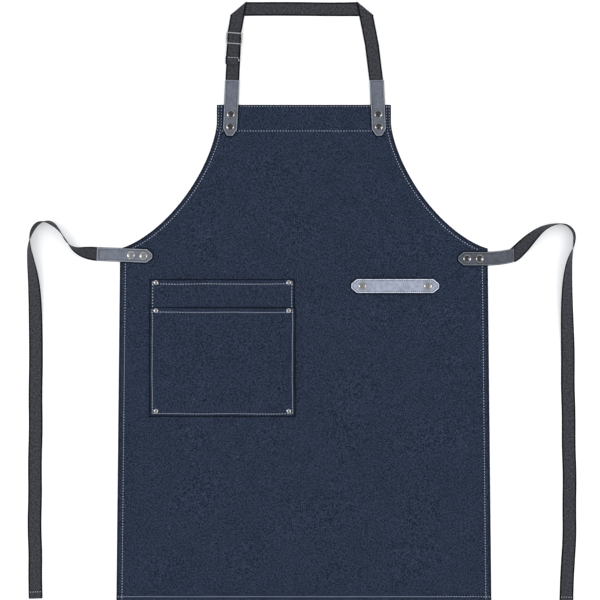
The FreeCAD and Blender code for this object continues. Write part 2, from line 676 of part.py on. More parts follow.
# --- build ---------------------------------------------------------------------------------------
def main():
    os.makedirs("parts", exist_ok=True)
    neck_left = Tab(-136.7, 301.3, NECK_TAB_ANGLE, NECK_TAB_CHAMFER)
    neck_right = Tab(131.9, 301.3, 180 - NECK_TAB_ANGLE, NECK_TAB_CHAMFER)
    waist_left = Tab(-275.5, 85.1, 180 - WAIST_TAB_TILT, WAIST_TAB_CHAMFER)
    waist_right = Tab(273.5, 80.6, 0.0, WAIST_TAB_CHAMFER, bend=WAIST_TAB_BEND)
    tabs = [neck_left, neck_right, waist_left, waist_right]
    tab_rivets = [place for tab in tabs for place in tab.caps()]
    neck_rivets = neck_left.caps() + neck_right.caps()
    big_rivets = tab_rivets + loop_rivets()

    sides = (POCKET_X - POCKET_RIVET_X, POCKET_X + POCKET_RIVET_X)
    upper = [(x, POCKET_BACK_TOP - MOUTH_TO_RIVET) for x in sides]
    lower_y = (POCKET_FRONT_TOP - MOUTH_TO_RIVET, POCKET_BOTTOM + BOTTOM_TO_RIVET)
    lower = [(x, y) for x in sides for y in lower_y]

    save("apron_panel", apron_panel(big_rivets, upper + lower))
    save("bib_facing", bib_facing(neck_rivets))
    save("armhole_binding_left", armhole_binding(-1))
    save("armhole_binding_right", armhole_binding(1))
    save("pocket_back", pocket_back(upper + lower))
    save("pocket_front", pocket_front(lower))
    save("neck_tab_left", leather_tab(neck_left, NECK_TAB_W))
    save("neck_tab_right", leather_tab(neck_right, NECK_TAB_W))
    save("waist_tab_left", leather_tab(waist_left, WAIST_TAB_W))
    save("waist_tab_right", leather_tab(waist_right, WAIST_TAB_W))
    save("towel_loop", towel_loop())
    save("neck_webbing_end_left", held_neck_webbing(neck_left))
    save("neck_webbing_end_right", held_neck_webbing(neck_right))
    save("waist_webbing_end_left", held_webbing(waist_left))
    save("waist_webbing_end_right", held_webbing(waist_right))

    caps = [cap(x, y, TAB_TOP, CAP_R, CAP_H, CAP_RIM, CAP_ROUNDING) for x, y in tab_rivets]
    caps += [cap(x, y, LOOP_TOP, CAP_R, CAP_H, CAP_RIM, CAP_ROUNDING) for x, y in loop_rivets()]
    save("rivet_caps", Part.makeCompound(caps))
    posts = [post(x, y, TAB_TOP, POST_R, PLATE_R) for x, y in tab_rivets]
    posts += [post(x, y, LOOP_TOP, POST_R, PLATE_R) for x, y in loop_rivets()]
    save("rivet_posts", Part.makeCompound(posts))

    levels = [PANEL_TOP + CLOTH] * len(upper) + [PANEL_TOP + 2 * CLOTH] * len(lower)
    small = list(zip(upper + lower, levels))
    heads = [cap(x, y, z, SMALL_CAP_R, SMALL_CAP_H, SMALL_CAP_RIM, SMALL_CAP_ROUNDING) for (x, y), z in small]
    save("pocket_rivet_caps", Part.makeCompound(heads))
    stems = [post(x, y, z, SMALL_POST_R, SMALL_PLATE_R) for (x, y), z in small]
    save("pocket_rivet_posts", Part.makeCompound(stems))

    save("neck_strap", neck_strap(neck_left))
    save("slider_webbing", slider_webbing(neck_left))
    save("slider", slider(neck_left))
    save("waist_tie_left", waist_tie(waist_left, LEFT_TIE, lean_left=True))
    save("waist_tie_right", waist_tie(waist_right, RIGHT_TIE, lean_left=False))


main()
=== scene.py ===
"""Visual model of a bib apron that lies flat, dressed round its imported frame.

Lengths are in metres in the frame's own axes: +X to the right of the bib, +Y up the bib towards
the neck strap, +Z away from the table. Every sub-assembly is a class that holds its sizes.
"""

import logging
import math
from collections.abc import Sequence
from dataclasses import dataclass, field
from enum import Enum

import bmesh
import bpy
import numpy as np
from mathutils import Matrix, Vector

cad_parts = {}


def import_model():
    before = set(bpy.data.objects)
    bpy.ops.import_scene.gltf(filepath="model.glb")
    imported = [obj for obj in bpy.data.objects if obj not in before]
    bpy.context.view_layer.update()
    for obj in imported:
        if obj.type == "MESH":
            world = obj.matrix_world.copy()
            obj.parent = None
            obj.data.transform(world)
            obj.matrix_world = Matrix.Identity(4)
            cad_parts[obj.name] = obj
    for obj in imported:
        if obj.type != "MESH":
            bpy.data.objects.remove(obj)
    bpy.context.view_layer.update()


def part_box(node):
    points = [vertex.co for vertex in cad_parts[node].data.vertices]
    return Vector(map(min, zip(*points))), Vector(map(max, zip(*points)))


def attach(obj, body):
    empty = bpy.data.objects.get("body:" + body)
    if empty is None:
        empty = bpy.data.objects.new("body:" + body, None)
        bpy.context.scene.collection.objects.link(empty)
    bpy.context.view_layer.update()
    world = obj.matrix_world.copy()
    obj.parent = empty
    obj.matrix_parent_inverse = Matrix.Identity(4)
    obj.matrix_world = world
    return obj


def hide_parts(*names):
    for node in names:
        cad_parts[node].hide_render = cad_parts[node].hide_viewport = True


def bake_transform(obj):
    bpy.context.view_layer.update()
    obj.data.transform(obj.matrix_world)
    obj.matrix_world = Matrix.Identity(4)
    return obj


LOG = logging.getLogger("apron")
MM = 0.001
SEED = 11
UP = np.array((0.0, 0.0, 1.0))
OUTER_ROW_RIM = 0.7
SIDES = ((-1, "left"), (1, "right"))

Array = np.ndarray
Material = bpy.types.Material
Node = bpy.types.Node
NodeTree = bpy.types.NodeTree
Piece = bpy.types.Object
Socket = bpy.types.NodeSocket
Place = tuple[float, float]
Spot = tuple[float, float, float]
Box = tuple[float, float, float, float]
Colour = tuple[float, ...]
Value = Socket | float | tuple[float, ...]


class Body(Enum):
    """Bodies of the frame that a piece may ride on."""

    APRON = "apron"
    NECK_LOOP = "neck_loop"
    SLIDER = "slider"


class Slot(Enum):
    """Material slots that a piece may take its finish from."""

    DENIM = "denim"
    FACING = "facing"
    WEBBING = "webbing"
    LEATHER = "leather"
    RIVET = "rivet_metal"
    SMALL_RIVET = "small_rivet_metal"
    POST = "post_metal"
    SLIDER = "slider_metal"


# --- mesh building -------------------------------------------------------------------------------
@dataclass
class MeshDraft:
    """Corners and faces of a mesh while it is built, with each corner's run and rim share."""

    points: list[Array] = field(default_factory=list)
    faces: list[tuple[int, ...]] = field(default_factory=list)
    runs: list[Array] = field(default_factory=list)
    rims: list[Array] = field(default_factory=list)
    count: int = 0

    def add(self, points: Array, faces: Sequence[Sequence[int]], runs: Array, rims: Array) -> None:
        """Append a closed part.

        Args:
            points: Corners, one row each.
            faces: Corner numbers of each face, counted within this part.
            runs: Each corner's place across and along the material, in metres.
            rims: Each corner's rim share, which drives edge wear, painted highlight and painted shade,
                0 in the middle of a face and 1 on an edge.
        """
        self.points.append(points)
        self.faces += [tuple(int(k) + self.count for k in face) for face in faces]
        self.runs.append(runs)
        self.rims.append(rims)
        self.count += len(points)

    def build(self, name: str, material: Material) -> Piece:
        """Make the mesh object.

        Args:
            name: Name of the object.
            material: Material of every face.

        Returns:
            The new object, smooth shaded and linked to the scene.
        """
        mesh = bpy.data.meshes.new(name)
        mesh.from_pydata(np.vstack(self.points).tolist(), [], self.faces)
        work = bmesh.new()
        work.from_mesh(mesh)
        bmesh.ops.recalc_face_normals(work, faces=work.faces)
        work.to_mesh(mesh)
        work.free()
        corner = np.zeros(len(mesh.loops), np.int32)
        mesh.loops.foreach_get("vertex_index", corner)
        runs = np.vstack(self.runs)[corner].astype(np.float32)
        mesh.uv_layers.new(name="run").data.foreach_set("uv", runs.ravel())
        rim = mesh.attributes.new("rim", "FLOAT", "POINT")
        rim.data.foreach_set("value", np.concatenate(self.rims).astype(np.float32))
        mesh.shade_smooth()
        mesh.materials.append(material)
        made = bpy.data.objects.new(name, mesh)
        bpy.context.scene.collection.objects.link(made)
        LOG.info("%s: %d corners, %d faces", name, len(mesh.vertices), len(mesh.polygons))
        return made


def unit_rows(vectors: Array) -> Array:
    """Scale vectors along the last axis to length one."""
    return vectors / np.maximum(np.linalg.norm(vectors, axis=-1, keepdims=True), 1e-12)


def smooth_step(value: Array | float, low: float, high: float) -> Array:
    """Rise from 0 at low to 1 at high, with level ends."""
    t = np.clip((np.asarray(value, float) - low) / (high - low), 0.0, 1.0)
    return t * t * (3 - 2 * t)


def bump_at(value: Array, centre: float, width: float) -> Array:
    """Bell curve of height 1 round a centre."""
    return np.exp(-(((np.asarray(value, float) - centre) / width) ** 2))


def run_along(path: Array) -> Array:
    """Length of a path up to each of its points."""
    return np.concatenate([[0.0], np.cumsum(np.linalg.norm(np.diff(path, axis=0), axis=1))])


def level_line(x: Array, y: float) -> Array:
    """Points (x, y) of a level line."""
    return np.column_stack([x, np.full_like(x, y)])


def border(rows: int, columns: int) -> list[tuple[int, int]]:
    """List the grid places round the border of a grid, in order.

    Args:
        rows: Rows of the grid.
        columns: Columns of the grid.

    Returns:
        Row and column of each place.
    """
    first = [(0, j) for j in range(columns)]
    right = [(i, columns - 1) for i in range(1, rows)]
    last = [(rows - 1, j) for j in range(columns - 2, -1, -1)]
    left = [(i, 0) for i in range(rows - 2, 0, -1)]
    return first + right + last + left


def dress(made: Piece, slot: Slot | None = None, *nodes: str, body: Body = Body.APRON) -> Piece:
    """Let a piece stand for CAD nodes and ride on a body.

    Args:
        made: The piece.
        slot: Material slot, if the piece names one; not used.
        *nodes: CAD nodes that it replaces.
        body: Body that it rides on.

    Returns:
        The same piece.
    """
    if nodes:
        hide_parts(*nodes)
    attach(made, body.value)
    return made


@dataclass
class Layer:
    """A layer of cloth, webbing or leather: a grid of points halfway through its thickness."""

    middle: Array
    thickness: float
    normals: Array | None = None
    runs: Array | None = None
    rims: Array | None = None
    rim_steps: int = 3

    def add_to(self, draft: MeshDraft) -> None:
        """Append both faces and a rounded edge all round.

        Args:
            draft: Mesh to append to.
        """
        rows, columns = self.middle.shape[:2]
        normals = np.broadcast_to(UP, self.middle.shape) if self.normals is None else self.normals
        runs = self.middle[..., :2] if self.runs is None else self.runs
        half = self.thickness / 2
        places = border(rows, columns)
        i = np.array([p[0] for p in places])
        j = np.array([p[1] for p in places])
        inner = self.middle[np.clip(i, 1, rows - 2), np.clip(j, 1, columns - 2)]
        edge = self.middle[i, j]
        normal = normals[i, j]
        out = edge - inner
        out = unit_rows(out - normal * np.sum(out * normal, axis=-1, keepdims=True))
        rings = []
        for k in range(1, self.rim_steps + 1):
            angle = math.pi * k / (self.rim_steps + 1)
            rings.append(edge + half * (out * math.sin(angle) + normal * math.cos(angle)))
        size = rows * columns
        upper = (self.middle + normals * half).reshape(-1, 3)
        lower = (self.middle - normals * half).reshape(-1, 3)
        points = np.vstack([upper, lower, *rings])
        flat_runs = runs.reshape(-1, 2)
        all_runs = np.vstack([flat_runs, flat_runs, *[runs[i, j]] * self.rim_steps])
        rims = np.ones(len(points))
        inside = np.zeros((rows, columns)) if self.rims is None else self.rims.copy()
        inside[[0, -1], :] = OUTER_ROW_RIM
        inside[:, [0, -1]] = OUTER_ROW_RIM
        rims[: 2 * size] = np.tile(inside.ravel(), 2)
        base = (np.arange(rows - 1)[:, None] * columns + np.arange(columns - 1)).ravel()
        top = np.stack([base, base + 1, base + columns + 1, base + columns], axis=1)
        faces = top.tolist() + (top[:, ::-1] + size).tolist()
        loops = [i * columns + j]
        for k in range(self.rim_steps):
            loops.append(2 * size + k * len(places) + np.arange(len(places)))
        loops.append(size + i * columns + j)
        for upper_loop, lower_loop in zip(loops, loops[1:]):
            a, b = np.roll(upper_loop, -1), np.roll(lower_loop, -1)
            faces += np.stack([upper_loop, lower_loop, b, a], axis=1).tolist()
        draft.add(points, faces, all_runs, rims)

    def build(self, name: str, material: Material) -> Piece:
        """Make a piece of this layer alone.

        Args:
            name: Name of the piece.
            material: Its material.

        Returns:
            The new object.
        """
        draft = MeshDraft()
        self.add_to(draft)
        return draft.build(name, material)


@dataclass(frozen=True)
class Stitch:
    """One sort of sewn line: the length of a stitch, the share of it that shows, and the thread."""

    pitch: float = 4.9 * MM
    shown: float = 0.44
    radius: float = 0.42 * MM
    wander: float = 0.12 * MM
    rise: float = 1.15
    dip: float = 0.75
    sections: int = 6
    sides: int = 6

    def sew(self, draft: MeshDraft, path: Array, up: Array = UP) -> None:
        """Lay stitches along a path on a surface, each end dipping into it.

        Args:
            draft: Mesh to append the stitches to.
            path: Points on the surface, in order.
            up: Direction out of the surface.
        """
        reach = run_along(path)
        count = max(1, int(reach[-1] / self.pitch))
        pitch = reach[-1] / count
        share = np.linspace(0.0, 1.0, self.sections)
        start = (np.arange(count) + (1 - self.shown) / 2) * pitch
        at = start[:, None] + share * self.shown * pitch
        centre = np.stack([np.interp(at, reach, path[:, k]) for k in range(3)], axis=-1)
        along = unit_rows(np.gradient(centre, axis=1))
        side = unit_rows(np.cross(up, along))
        lift = np.cross(along, side)
        bow = np.sqrt(np.sin(math.pi * share))
        dice = np.random.default_rng(SEED + count)
        drift = dice.normal(0.0, self.wander, (count, 1)) * np.linspace(-1, 1, self.sections)
        centre = centre + up * (self.radius * (self.rise * bow - self.dip))[None, :, None]
        centre = centre + side * drift[..., None]
        turn = np.arange(self.sides) * 2 * math.pi / self.sides
        girth = self.radius * (0.72 + 0.28 * bow)[None, :, None, None]
        ring = side[:, :, None] * np.cos(turn)[:, None] + lift[:, :, None] * np.sin(turn)[:, None]
        points = (centre[:, :, None] + ring * girth).reshape(-1, 3)
        spin = np.broadcast_to(turn * self.radius, (count, self.sections, self.sides))
        runs = np.stack([spin, np.broadcast_to(at[..., None], spin.shape)], axis=-1).reshape(-1, 2)
        faces: list[list[int]] = []
        for k in range(count):
            first = k * self.sections * self.sides
            for a in range(self.sections - 1):
                row = first + a * self.sides
                for b in range(self.sides):
                    c = (b + 1) % self.sides
                    faces.append([row + b, row + c, row + self.sides + c, row + self.sides + b])
            faces.append(list(range(first, first + self.sides)))
            last = first + (self.sections - 1) * self.sides
            faces.append(list(range(last + self.sides - 1, last - 1, -1)))
        draft.add(points, faces, runs, np.zeros(len(points)))


def turned(draft: MeshDraft, profile: Sequence[Place], centre: Spot, segments: int = 48) -> None:
    """Append a turned part.

    Args:
        draft: Mesh to append to.
        profile: Radius and height of each corner, from the axis below to the axis above.
        centre: Point of the axis at height zero.
        segments: Number of sides.
    """
    angle = np.arange(segments) * 2 * math.pi / segments
    points = [[0.0, 0.0, profile[0][1]]]
    runs = [(0.0, 0.0)]
    for radius, height in profile[1:-1]:
        for a in angle:
            points.append([radius * math.cos(a), radius * math.sin(a), height])
            runs.append((radius * math.cos(a), radius * math.sin(a)))
    points.append([0.0, 0.0, profile[-1][1]])
    runs.append((0.0, 0.0))
    faces = []
    rings = len(profile) - 2
    for k in range(segments):
        n = (k + 1) % segments
        faces.append([0, 1 + n, 1 + k])
        for r in range(rings - 1):
            low, high = 1 + r * segments, 1 + (r + 1) * segments
            faces.append([low + k, low + n, high + n, high + k])
        top = 1 + (rings - 1) * segments
        faces.append([top + k, top + n, 1 + rings * segments])
    corners = np.array(points) + np.array(centre)
    draft.add(corners, faces, np.array(runs), np.zeros(len(corners)))


def tube(draft: MeshDraft, path: Array, radius: float, closed: bool, sides: int = 12) -> None:
    """Append a round bar that follows a path.

    Args:
        draft: Mesh to append to.
        path: Points of the bar's centre line.
        radius: Radius of the bar.
        closed: Whether the bar is a ring.
        sides: Number of sides.
    """
    if closed:
        along = np.roll(path, -1, axis=0) - np.roll(path, 1, axis=0)
    else:
        along = np.gradient(path, axis=0)
    along = unit_rows(along)
    hint = np.broadcast_to(UP, along.shape).copy()
    hint[np.abs(along[:, 2]) > 0.9] = (0.0, 1.0, 0.0)
    side = unit_rows(np.cross(hint, along))
    lift = np.cross(along, side)
    turn = np.arange(sides) * 2 * math.pi / sides
    ring = side[:, None] * np.cos(turn)[:, None] + lift[:, None] * np.sin(turn)[:, None]
    points = (path[:, None] + ring * radius).reshape(-1, 3)
    count = len(path)
    reach = run_along(path)
    runs = np.stack(np.broadcast_arrays(turn * radius, reach[:, None]), axis=-1).reshape(-1, 2)
    faces = []
    for a in range(count if closed else count - 1):
        for b in range(sides):
            c = (b + 1) % sides
            low, high = a * sides, (a + 1) % count * sides
            faces.append([low + b, low + c, high + c, high + b])
    if not closed:
        faces.append(list(range(sides)))
        faces.append(list(range(count * sides - 1, (count - 1) * sides - 1, -1)))
    draft.add(points, faces, runs, np.full(len(points), 0.5))


@dataclass
class Strap:
    """Flat webbing through stations: a left edge, a right edge and the way the face looks."""

    width: float = 25.0 * MM
    thickness: float = 1.2 * MM
    columns: int = 11
    step: float = 3.0 * MM
    lefts: list[Array] = field(default_factory=list)
    rights: list[Array] = field(default_factory=list)
    faces: list[Array] = field(default_factory=list)

    def station(self, left: Array, right: Array, face: Array = UP) -> None:
        """Add a station at the far end.

        Args:
            left: Point of the left edge.
            right: Point of the right edge.
            face: Direction that the face looks in.
        """
        self.lefts.append(np.array(left, float))
        self.rights.append(np.array(right, float))
        self.faces.append(unit_rows(np.array(face, float)))

    def turn(self, outward: Sequence[float], radius: float, rising: bool, steps: int = 8) -> None:
        """Fold the strap back on itself at its last station.

        Args:
            outward: Level direction, square to the fold line, that the fold bulges towards.
            radius: Radius of the fold at the middle of the webbing.
            rising: Whether the strap goes on above itself rather than below.
            steps: Number of stations in the half turn.
        """
        left, right, face = self.lefts[-1], self.rights[-1], self.faces[-1]
        out = unit_rows(np.array((outward[0], outward[1], 0.0)))
        way = 1.0 if rising else -1.0
        looks = 1.0 if face[2] > 0 else -1.0
        for k in range(1, steps + 1):
            angle = math.pi * k / steps
            shift = out * radius * math.sin(angle) + UP * way * radius * (1 - math.cos(angle))
            spin = UP * looks * math.cos(angle) - out * way * looks * math.sin(angle)
            self.station(left + shift, right + shift, spin)

    def layer(self) -> Layer:
        """Spread the stations into a grid with a station at least every step.

        Returns:
            The webbing as a layer.
        """
        left, right, face = (np.array(v) for v in (self.lefts, self.rights, self.faces))
        middle = (left + right) / 2
        reach = run_along(middle)
        marks = [reach[0]]
        for a, b in zip(reach, reach[1:]):
            parts = max(1, math.ceil((b - a) / self.step))
            marks += [a + (b - a) * (k + 1) / parts for k in range(parts)]
        at = np.array(marks)

        def spread(values: Array) -> Array:
            """Interpolate the stations' values at the marks."""
            return np.stack([np.interp(at, reach, values[:, k]) for k in range(3)], axis=-1)

        left, right, face = spread(left), spread(right), unit_rows(spread(face))
        inset = self.thickness / 2 / np.maximum(np.linalg.norm(right - left, axis=1), 1e-9)
        share = np.linspace(0.0, 1.0, self.columns)
        share = inset[:, None] + share * (1 - 2 * inset[:, None])
        grid = left[:, None] + (right - left)[:, None] * share[..., None]
        across = (share - 0.5) * self.width
        runs = np.stack(np.broadcast_arrays(across, at[:, None]), axis=-1)
        normals = np.broadcast_to(face[:, None], grid.shape)
        return Layer(grid, self.thickness, normals, runs)


# --- shader building -----------------------------------------------------------------------------
class Graph:
    """Adds nodes to a node tree and joins them."""

    def __init__(self, tree: NodeTree) -> None:
        """Work on one node tree."""
        self.tree = tree

    def put(
        self, kind: str, values: dict[str | int, Value] | None = None, **settings: object
    ) -> Node:
        """Add a node.

        Args:
            kind: Blender's name of the node type.
            values: A number or a socket for each input that isn't left alone.
            **settings: Properties of the node.

        Returns:
            The new node.
        """
        node = self.tree.nodes.new(kind)
        for key, value in settings.items():
            setattr(node, key, value)
        for key, value in (values or {}).items():
            if isinstance(value, Socket):
                self.tree.links.new(value, node.inputs[key])
            else:
                node.inputs[key].default_value = value
        return node

    def math(self, operation: str, a: Value, b: Value = 0.0, c: Value = 0.0) -> Socket:
        """Add a Math node and return its result."""
        return self.put("ShaderNodeMath", {0: a, 1: b, 2: c}, operation=operation).outputs[0]

    def mix(self, share: Value, a: Value, b: Value) -> Socket:
        """Mix two colours and return the result."""
        node = self.put("ShaderNodeMix", {0: share, 6: a, 7: b}, data_type="RGBA")
        return node.outputs[2]

    def noise(self, place: Value, scale: float, detail: float = 3.0) -> Socket:
        """Add a noise texture and return its value, 0 to 1."""
        values = {"Vector": place, "Scale": scale, "Detail": detail}
        return self.put("ShaderNodeTexNoise", values).outputs[0]

    def stretch(self, place: Value, factors: tuple[float, float, float]) -> Socket:
        """Multiply a place by factors, one for each axis."""
        return self.put("ShaderNodeVectorMath", {0: place, 1: factors}, operation="MULTIPLY").outputs[0]

    def scale(self, place: Value, factor: Value) -> Socket:
        """Multiply a place by one factor."""
        return self.put("ShaderNodeVectorMath", {0: place, 3: factor}, operation="SCALE").outputs[0]

    def ramp(
        self, value: Value, low: float, high: float, start: float = 0.0, end: float = 1.0
    ) -> Socket:
        """Map a value from low..high to start..end, with level ends."""
        values = {0: value, 1: low, 2: high, 3: start, 4: end}
        return self.put("ShaderNodeMapRange", values, interpolation_type="SMOOTHSTEP").outputs[0]

    def group(self, tree: NodeTree, **values: Value) -> Socket:
        """Place a node group with its own values.

        Args:
            tree: The group.
            **values: A number or a socket for each input, by its name in small letters.

        Returns:
            The group's result.
        """
        named = {key.replace("_", " ").capitalize(): value for key, value in values.items()}
        return self.put("ShaderNodeGroup", named, node_tree=tree).outputs[0]


def new_group(name: str, numbers: Sequence[str], result: str) -> tuple[Graph, dict[str, Socket]]:
    """Start a shader node group that takes a place and some numbers.

    Args:
        name: Name of the group.
        numbers: Names of its number inputs.
        result: Name of its output.

    Returns:
        The graph to fill, and the group's inputs by name.
    """
    tree = bpy.data.node_groups.new(name, "ShaderNodeTree")
    tree.interface.new_socket("Place", in_out="INPUT", socket_type="NodeSocketVector")
    for key in numbers:
        tree.interface.new_socket(key, in_out="INPUT", socket_type="NodeSocketFloat")
    tree.interface.new_socket(result, in_out="OUTPUT", socket_type="NodeSocketFloat")
    graph = Graph(tree)
    inside = {socket.name: socket for socket in graph.put("NodeGroupInput").outputs if socket.name}
    return graph, inside


def end_group(graph: Graph, value: Socket) -> NodeTree:
    """Join the result to the group's output and return the finished group."""
    graph.put("NodeGroupOutput", {0: value})
    return graph.tree


class Effects:
    """Node groups that more than one material uses."""

    def __init__(self) -> None:
        """Build each group once."""
        self.lee = self.build_lee()
        self.weave = self.build_weave()
        self.yarn = self.build_yarn()
        self.lint = self.build_lint()
        self.wear = self.build_wear()
        self.scuffs = self.build_scuffs()

    def build_weave(self) -> NodeTree:
        """Build the twill: slanted ribs, each cut into the lengths of yarn that lie on top.

        Returns:
            The group, whose height is about 0 to 1.
        """
        graph, inside = new_group("twill weave", ["Pitch"], "Height")
        split = graph.put("ShaderNodeSeparateXYZ", {0: inside["Place"]}).outputs
        x = graph.math("DIVIDE", split[0], inside["Pitch"])
        y = graph.math("DIVIDE", split[1], inside["Pitch"])
        slant = graph.math("SINE", graph.math("MULTIPLY", graph.math("ADD", x, y), 2 * math.pi))
        cut = graph.math("SINE", graph.math("MULTIPLY", graph.math("SUBTRACT", x, y), math.pi))
        rib = graph.math("MULTIPLY_ADD", slant, 0.36, 0.5)
        return end_group(graph, graph.math("MULTIPLY_ADD", cut, 0.14, rib))

    def build_yarn(self) -> NodeTree:
        """Build the uneven yarn: thick and thin stretches that run both ways of the cloth.

        Returns:
            The group, whose value is 0 to 1.
        """
        graph, inside = new_group("uneven yarn", ["Scale"], "Value")
        place = graph.scale(inside["Place"], inside["Scale"])
        level = graph.noise(graph.stretch(place, (0.42, 1.0, 1.0)), 1.0, 2.0)
        upright = graph.noise(graph.stretch(place, (1.0, 0.42, 1.0)), 1.1, 2.0)
        fleck = graph.noise(place, 1.35, 2.0)
        both = graph.math("MULTIPLY_ADD", level, 0.26, graph.math("MULTIPLY", upright, 0.30))
        return end_group(graph, graph.math("MULTIPLY_ADD", fleck, 0.44, both))

    def build_lint(self) -> NodeTree:
        """Build the sparse pale specks of lint.

        Returns:
            The group, whose mask is 0 to its amount.
        """
        graph, inside = new_group("lint", ["Scale", "Amount"], "Mask")
        place = graph.scale(inside["Place"], inside["Scale"])
        cell = graph.put("ShaderNodeTexVoronoi", {"Vector": place, "Scale": 1.0}, feature="F1")
        split = graph.put("ShaderNodeSeparateColor", {0: cell.outputs["Color"]}).outputs
        rare = graph.math("GREATER_THAN", split[0], 0.9)
        speck = graph.ramp(cell.outputs["Distance"], 0.05, 0.12, 1.0, 0.0)
        mask = graph.math("MULTIPLY", speck, rare)
        return end_group(graph, graph.math("MULTIPLY", mask, inside["Amount"]))

    def build_wear(self) -> NodeTree:
        """Build the broken wear along edges, from the rim share that the mesh carries; on leather the
        same mask also places painted highlight on the rounded rim.

        Returns:
            The group, whose mask is 0 to its amount.
        """
        graph, inside = new_group("edge wear", ["Rim", "Scale", "Amount"], "Mask")
        place = graph.scale(inside["Place"], inside["Scale"])
        patch = graph.ramp(graph.noise(place, 1.0, 4.0), 0.35, 0.62, 0.4, 1.0)
        rim = graph.ramp(inside["Rim"], 0.1, 0.95)
        mask = graph.math("MULTIPLY", rim, patch)
        return end_group(graph, graph.math("MULTIPLY", mask, inside["Amount"]))

    def build_lee(self) -> NodeTree:
        """Build the painted shade line beside a sewn-on piece, outside a turned box with cut corners.

        Returns:
            The group, whose mask is 0 to 1.
        """
        numbers = ["Middle x", "Middle y", "Angle", "Half x", "Half y", "Cut x", "Cut y", "Reach"]
        graph, inside = new_group("unfaded lee", numbers, "Mask")
        middle = {0: inside["Middle x"], 1: inside["Middle y"], 2: 0.0}
        pair = {0: inside["Place"], 1: graph.put("ShaderNodeCombineXYZ", middle).outputs[0]}
        off = graph.put("ShaderNodeVectorMath", pair, operation="SUBTRACT").outputs[0]
        values = {"Vector": off, "Angle": graph.math("MULTIPLY", inside["Angle"], -1.0)}
        level = graph.put("ShaderNodeVectorRotate", values, rotation_type="Z_AXIS").outputs[0]
        split = graph.put("ShaderNodeSeparateXYZ", {0: level}).outputs
        u, v = (
            graph.math("SUBTRACT", graph.math("ABSOLUTE", split[axis]), inside[f"Half {letter}"])
            for axis, letter in enumerate("xy")
        )
        slant = graph.math("MULTIPLY", graph.math("ADD", u, inside["Cut x"]), inside["Cut y"])
        slant = graph.math("MULTIPLY_ADD", v, inside["Cut x"], slant)
        squares = graph.math("MULTIPLY_ADD", inside["Cut x"], inside["Cut x"], 1e-12)
        squares = graph.math("MULTIPLY_ADD", inside["Cut y"], inside["Cut y"], squares)
        slant = graph.math("DIVIDE", slant, graph.math("SQRT", squares))
        far = graph.math("MAXIMUM", graph.math("MAXIMUM", u, v), slant)
        share = graph.math("DIVIDE", far, inside["Reach"])
        return end_group(graph, graph.ramp(share, 0.25, 1.0, 1.0, 0.0))

    def build_scuffs(self) -> NodeTree:
        """Build the fine scuffs of handled metal and leather.

        Returns:
            The group, whose value is 0 to 1.
        """
        graph, inside = new_group("fine scuffs", ["Scale"], "Value")
        place = graph.scale(inside["Place"], inside["Scale"])
        scratch = graph.noise(graph.stretch(place, (0.12, 1.6, 1.0)), 3.0, 5.0)
        cloud = graph.noise(place, 0.6, 3.0)
        soft = graph.math("MULTIPLY", cloud, 0.4)
        return end_group(graph, graph.math("MULTIPLY_ADD", scratch, 0.6, soft))


def start_material(name: str) -> tuple[Material, Graph, Node]:
    """Start a material with one Principled BSDF.

    Args:
        name: Name of the material.

    Returns:
        The material, its graph, and the Principled BSDF node.
    """
    material = bpy.data.materials.new(name)
    material.use_nodes = True
    material.node_tree.nodes.clear()
    graph = Graph(material.node_tree)
    shader = graph.put("ShaderNodeBsdfPrincipled")
    graph.put("ShaderNodeOutputMaterial", {"Surface": shader.outputs[0]})
    return material, graph, shader


def rim_of(graph: Graph) -> Socket:
    """Read the rim share that the mesh carries."""
    return graph.put("ShaderNodeAttribute", attribute_name="rim").outputs["Fac"]


def own_place(graph: Graph) -> Socket:
    """Read the place on the piece, in metres."""
    return graph.put("ShaderNodeTexCoord").outputs["Object"]


def run_place(graph: Graph) -> Socket:
    """Read the place across and along the webbing or thread, in metres."""
    return graph.put("ShaderNodeUVMap", uv_map="run").outputs[0]


@dataclass
class Surface:
    """What a finish feeds its shader: values that change over the surface, and plain numbers."""

    colour: Socket
    roughness: Socket
    height: Socket
    strength: float
    depth: float
    numbers: dict[str, float] = field(default_factory=dict)


class Finish:
    """A finish of the apron; each kind paints a surface of its own."""

    name: str

    def paint(self, graph: Graph, effects: Effects) -> Surface:
        """Build the nodes of the surface."""
        raise NotImplementedError

    def material(self, effects: Effects) -> Material:
        """Build the material.

        Args:
            effects: Node groups to place.

        Returns:
            The material.
        """
        made, graph, shader = start_material(self.name)
        surface = self.paint(graph, effects)
        bump = {"Strength": surface.strength, "Distance": surface.depth, "Height": surface.height}
        normal = graph.put("ShaderNodeBump", bump).outputs[0]
        fed = {"Base Color": surface.colour, "Roughness": surface.roughness, "Normal": normal}
        for key, value in fed.items():
            graph.tree.links.new(value, shader.inputs[key])
        for key, value in surface.numbers.items():
            shader.inputs[key].default_value = value
        return made


@dataclass(frozen=True)
class ShadeOutline:
    """Outline of a sewn-on piece, beside which the cloth gets a painted shade line: its middle, its
    turn, its half size and its cut corners.
    """

    middle_x: float
    middle_y: float
    angle: float
    half_x: float
    half_y: float
    cut_x: float = 0.0
    cut_y: float = 0.0

    @classmethod
    def of_node(cls, node: str) -> "ShadeOutline":
        """Take the outline of a node's level box.

        Args:
            node: Name of the CAD node.

        Returns:
            The outline.
        """
        low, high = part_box(node)
        middle = (low + high) / 2
        return cls(middle.x, middle.y, 0.0, (high.x - low.x) / 2, (high.y - low.y) / 2)


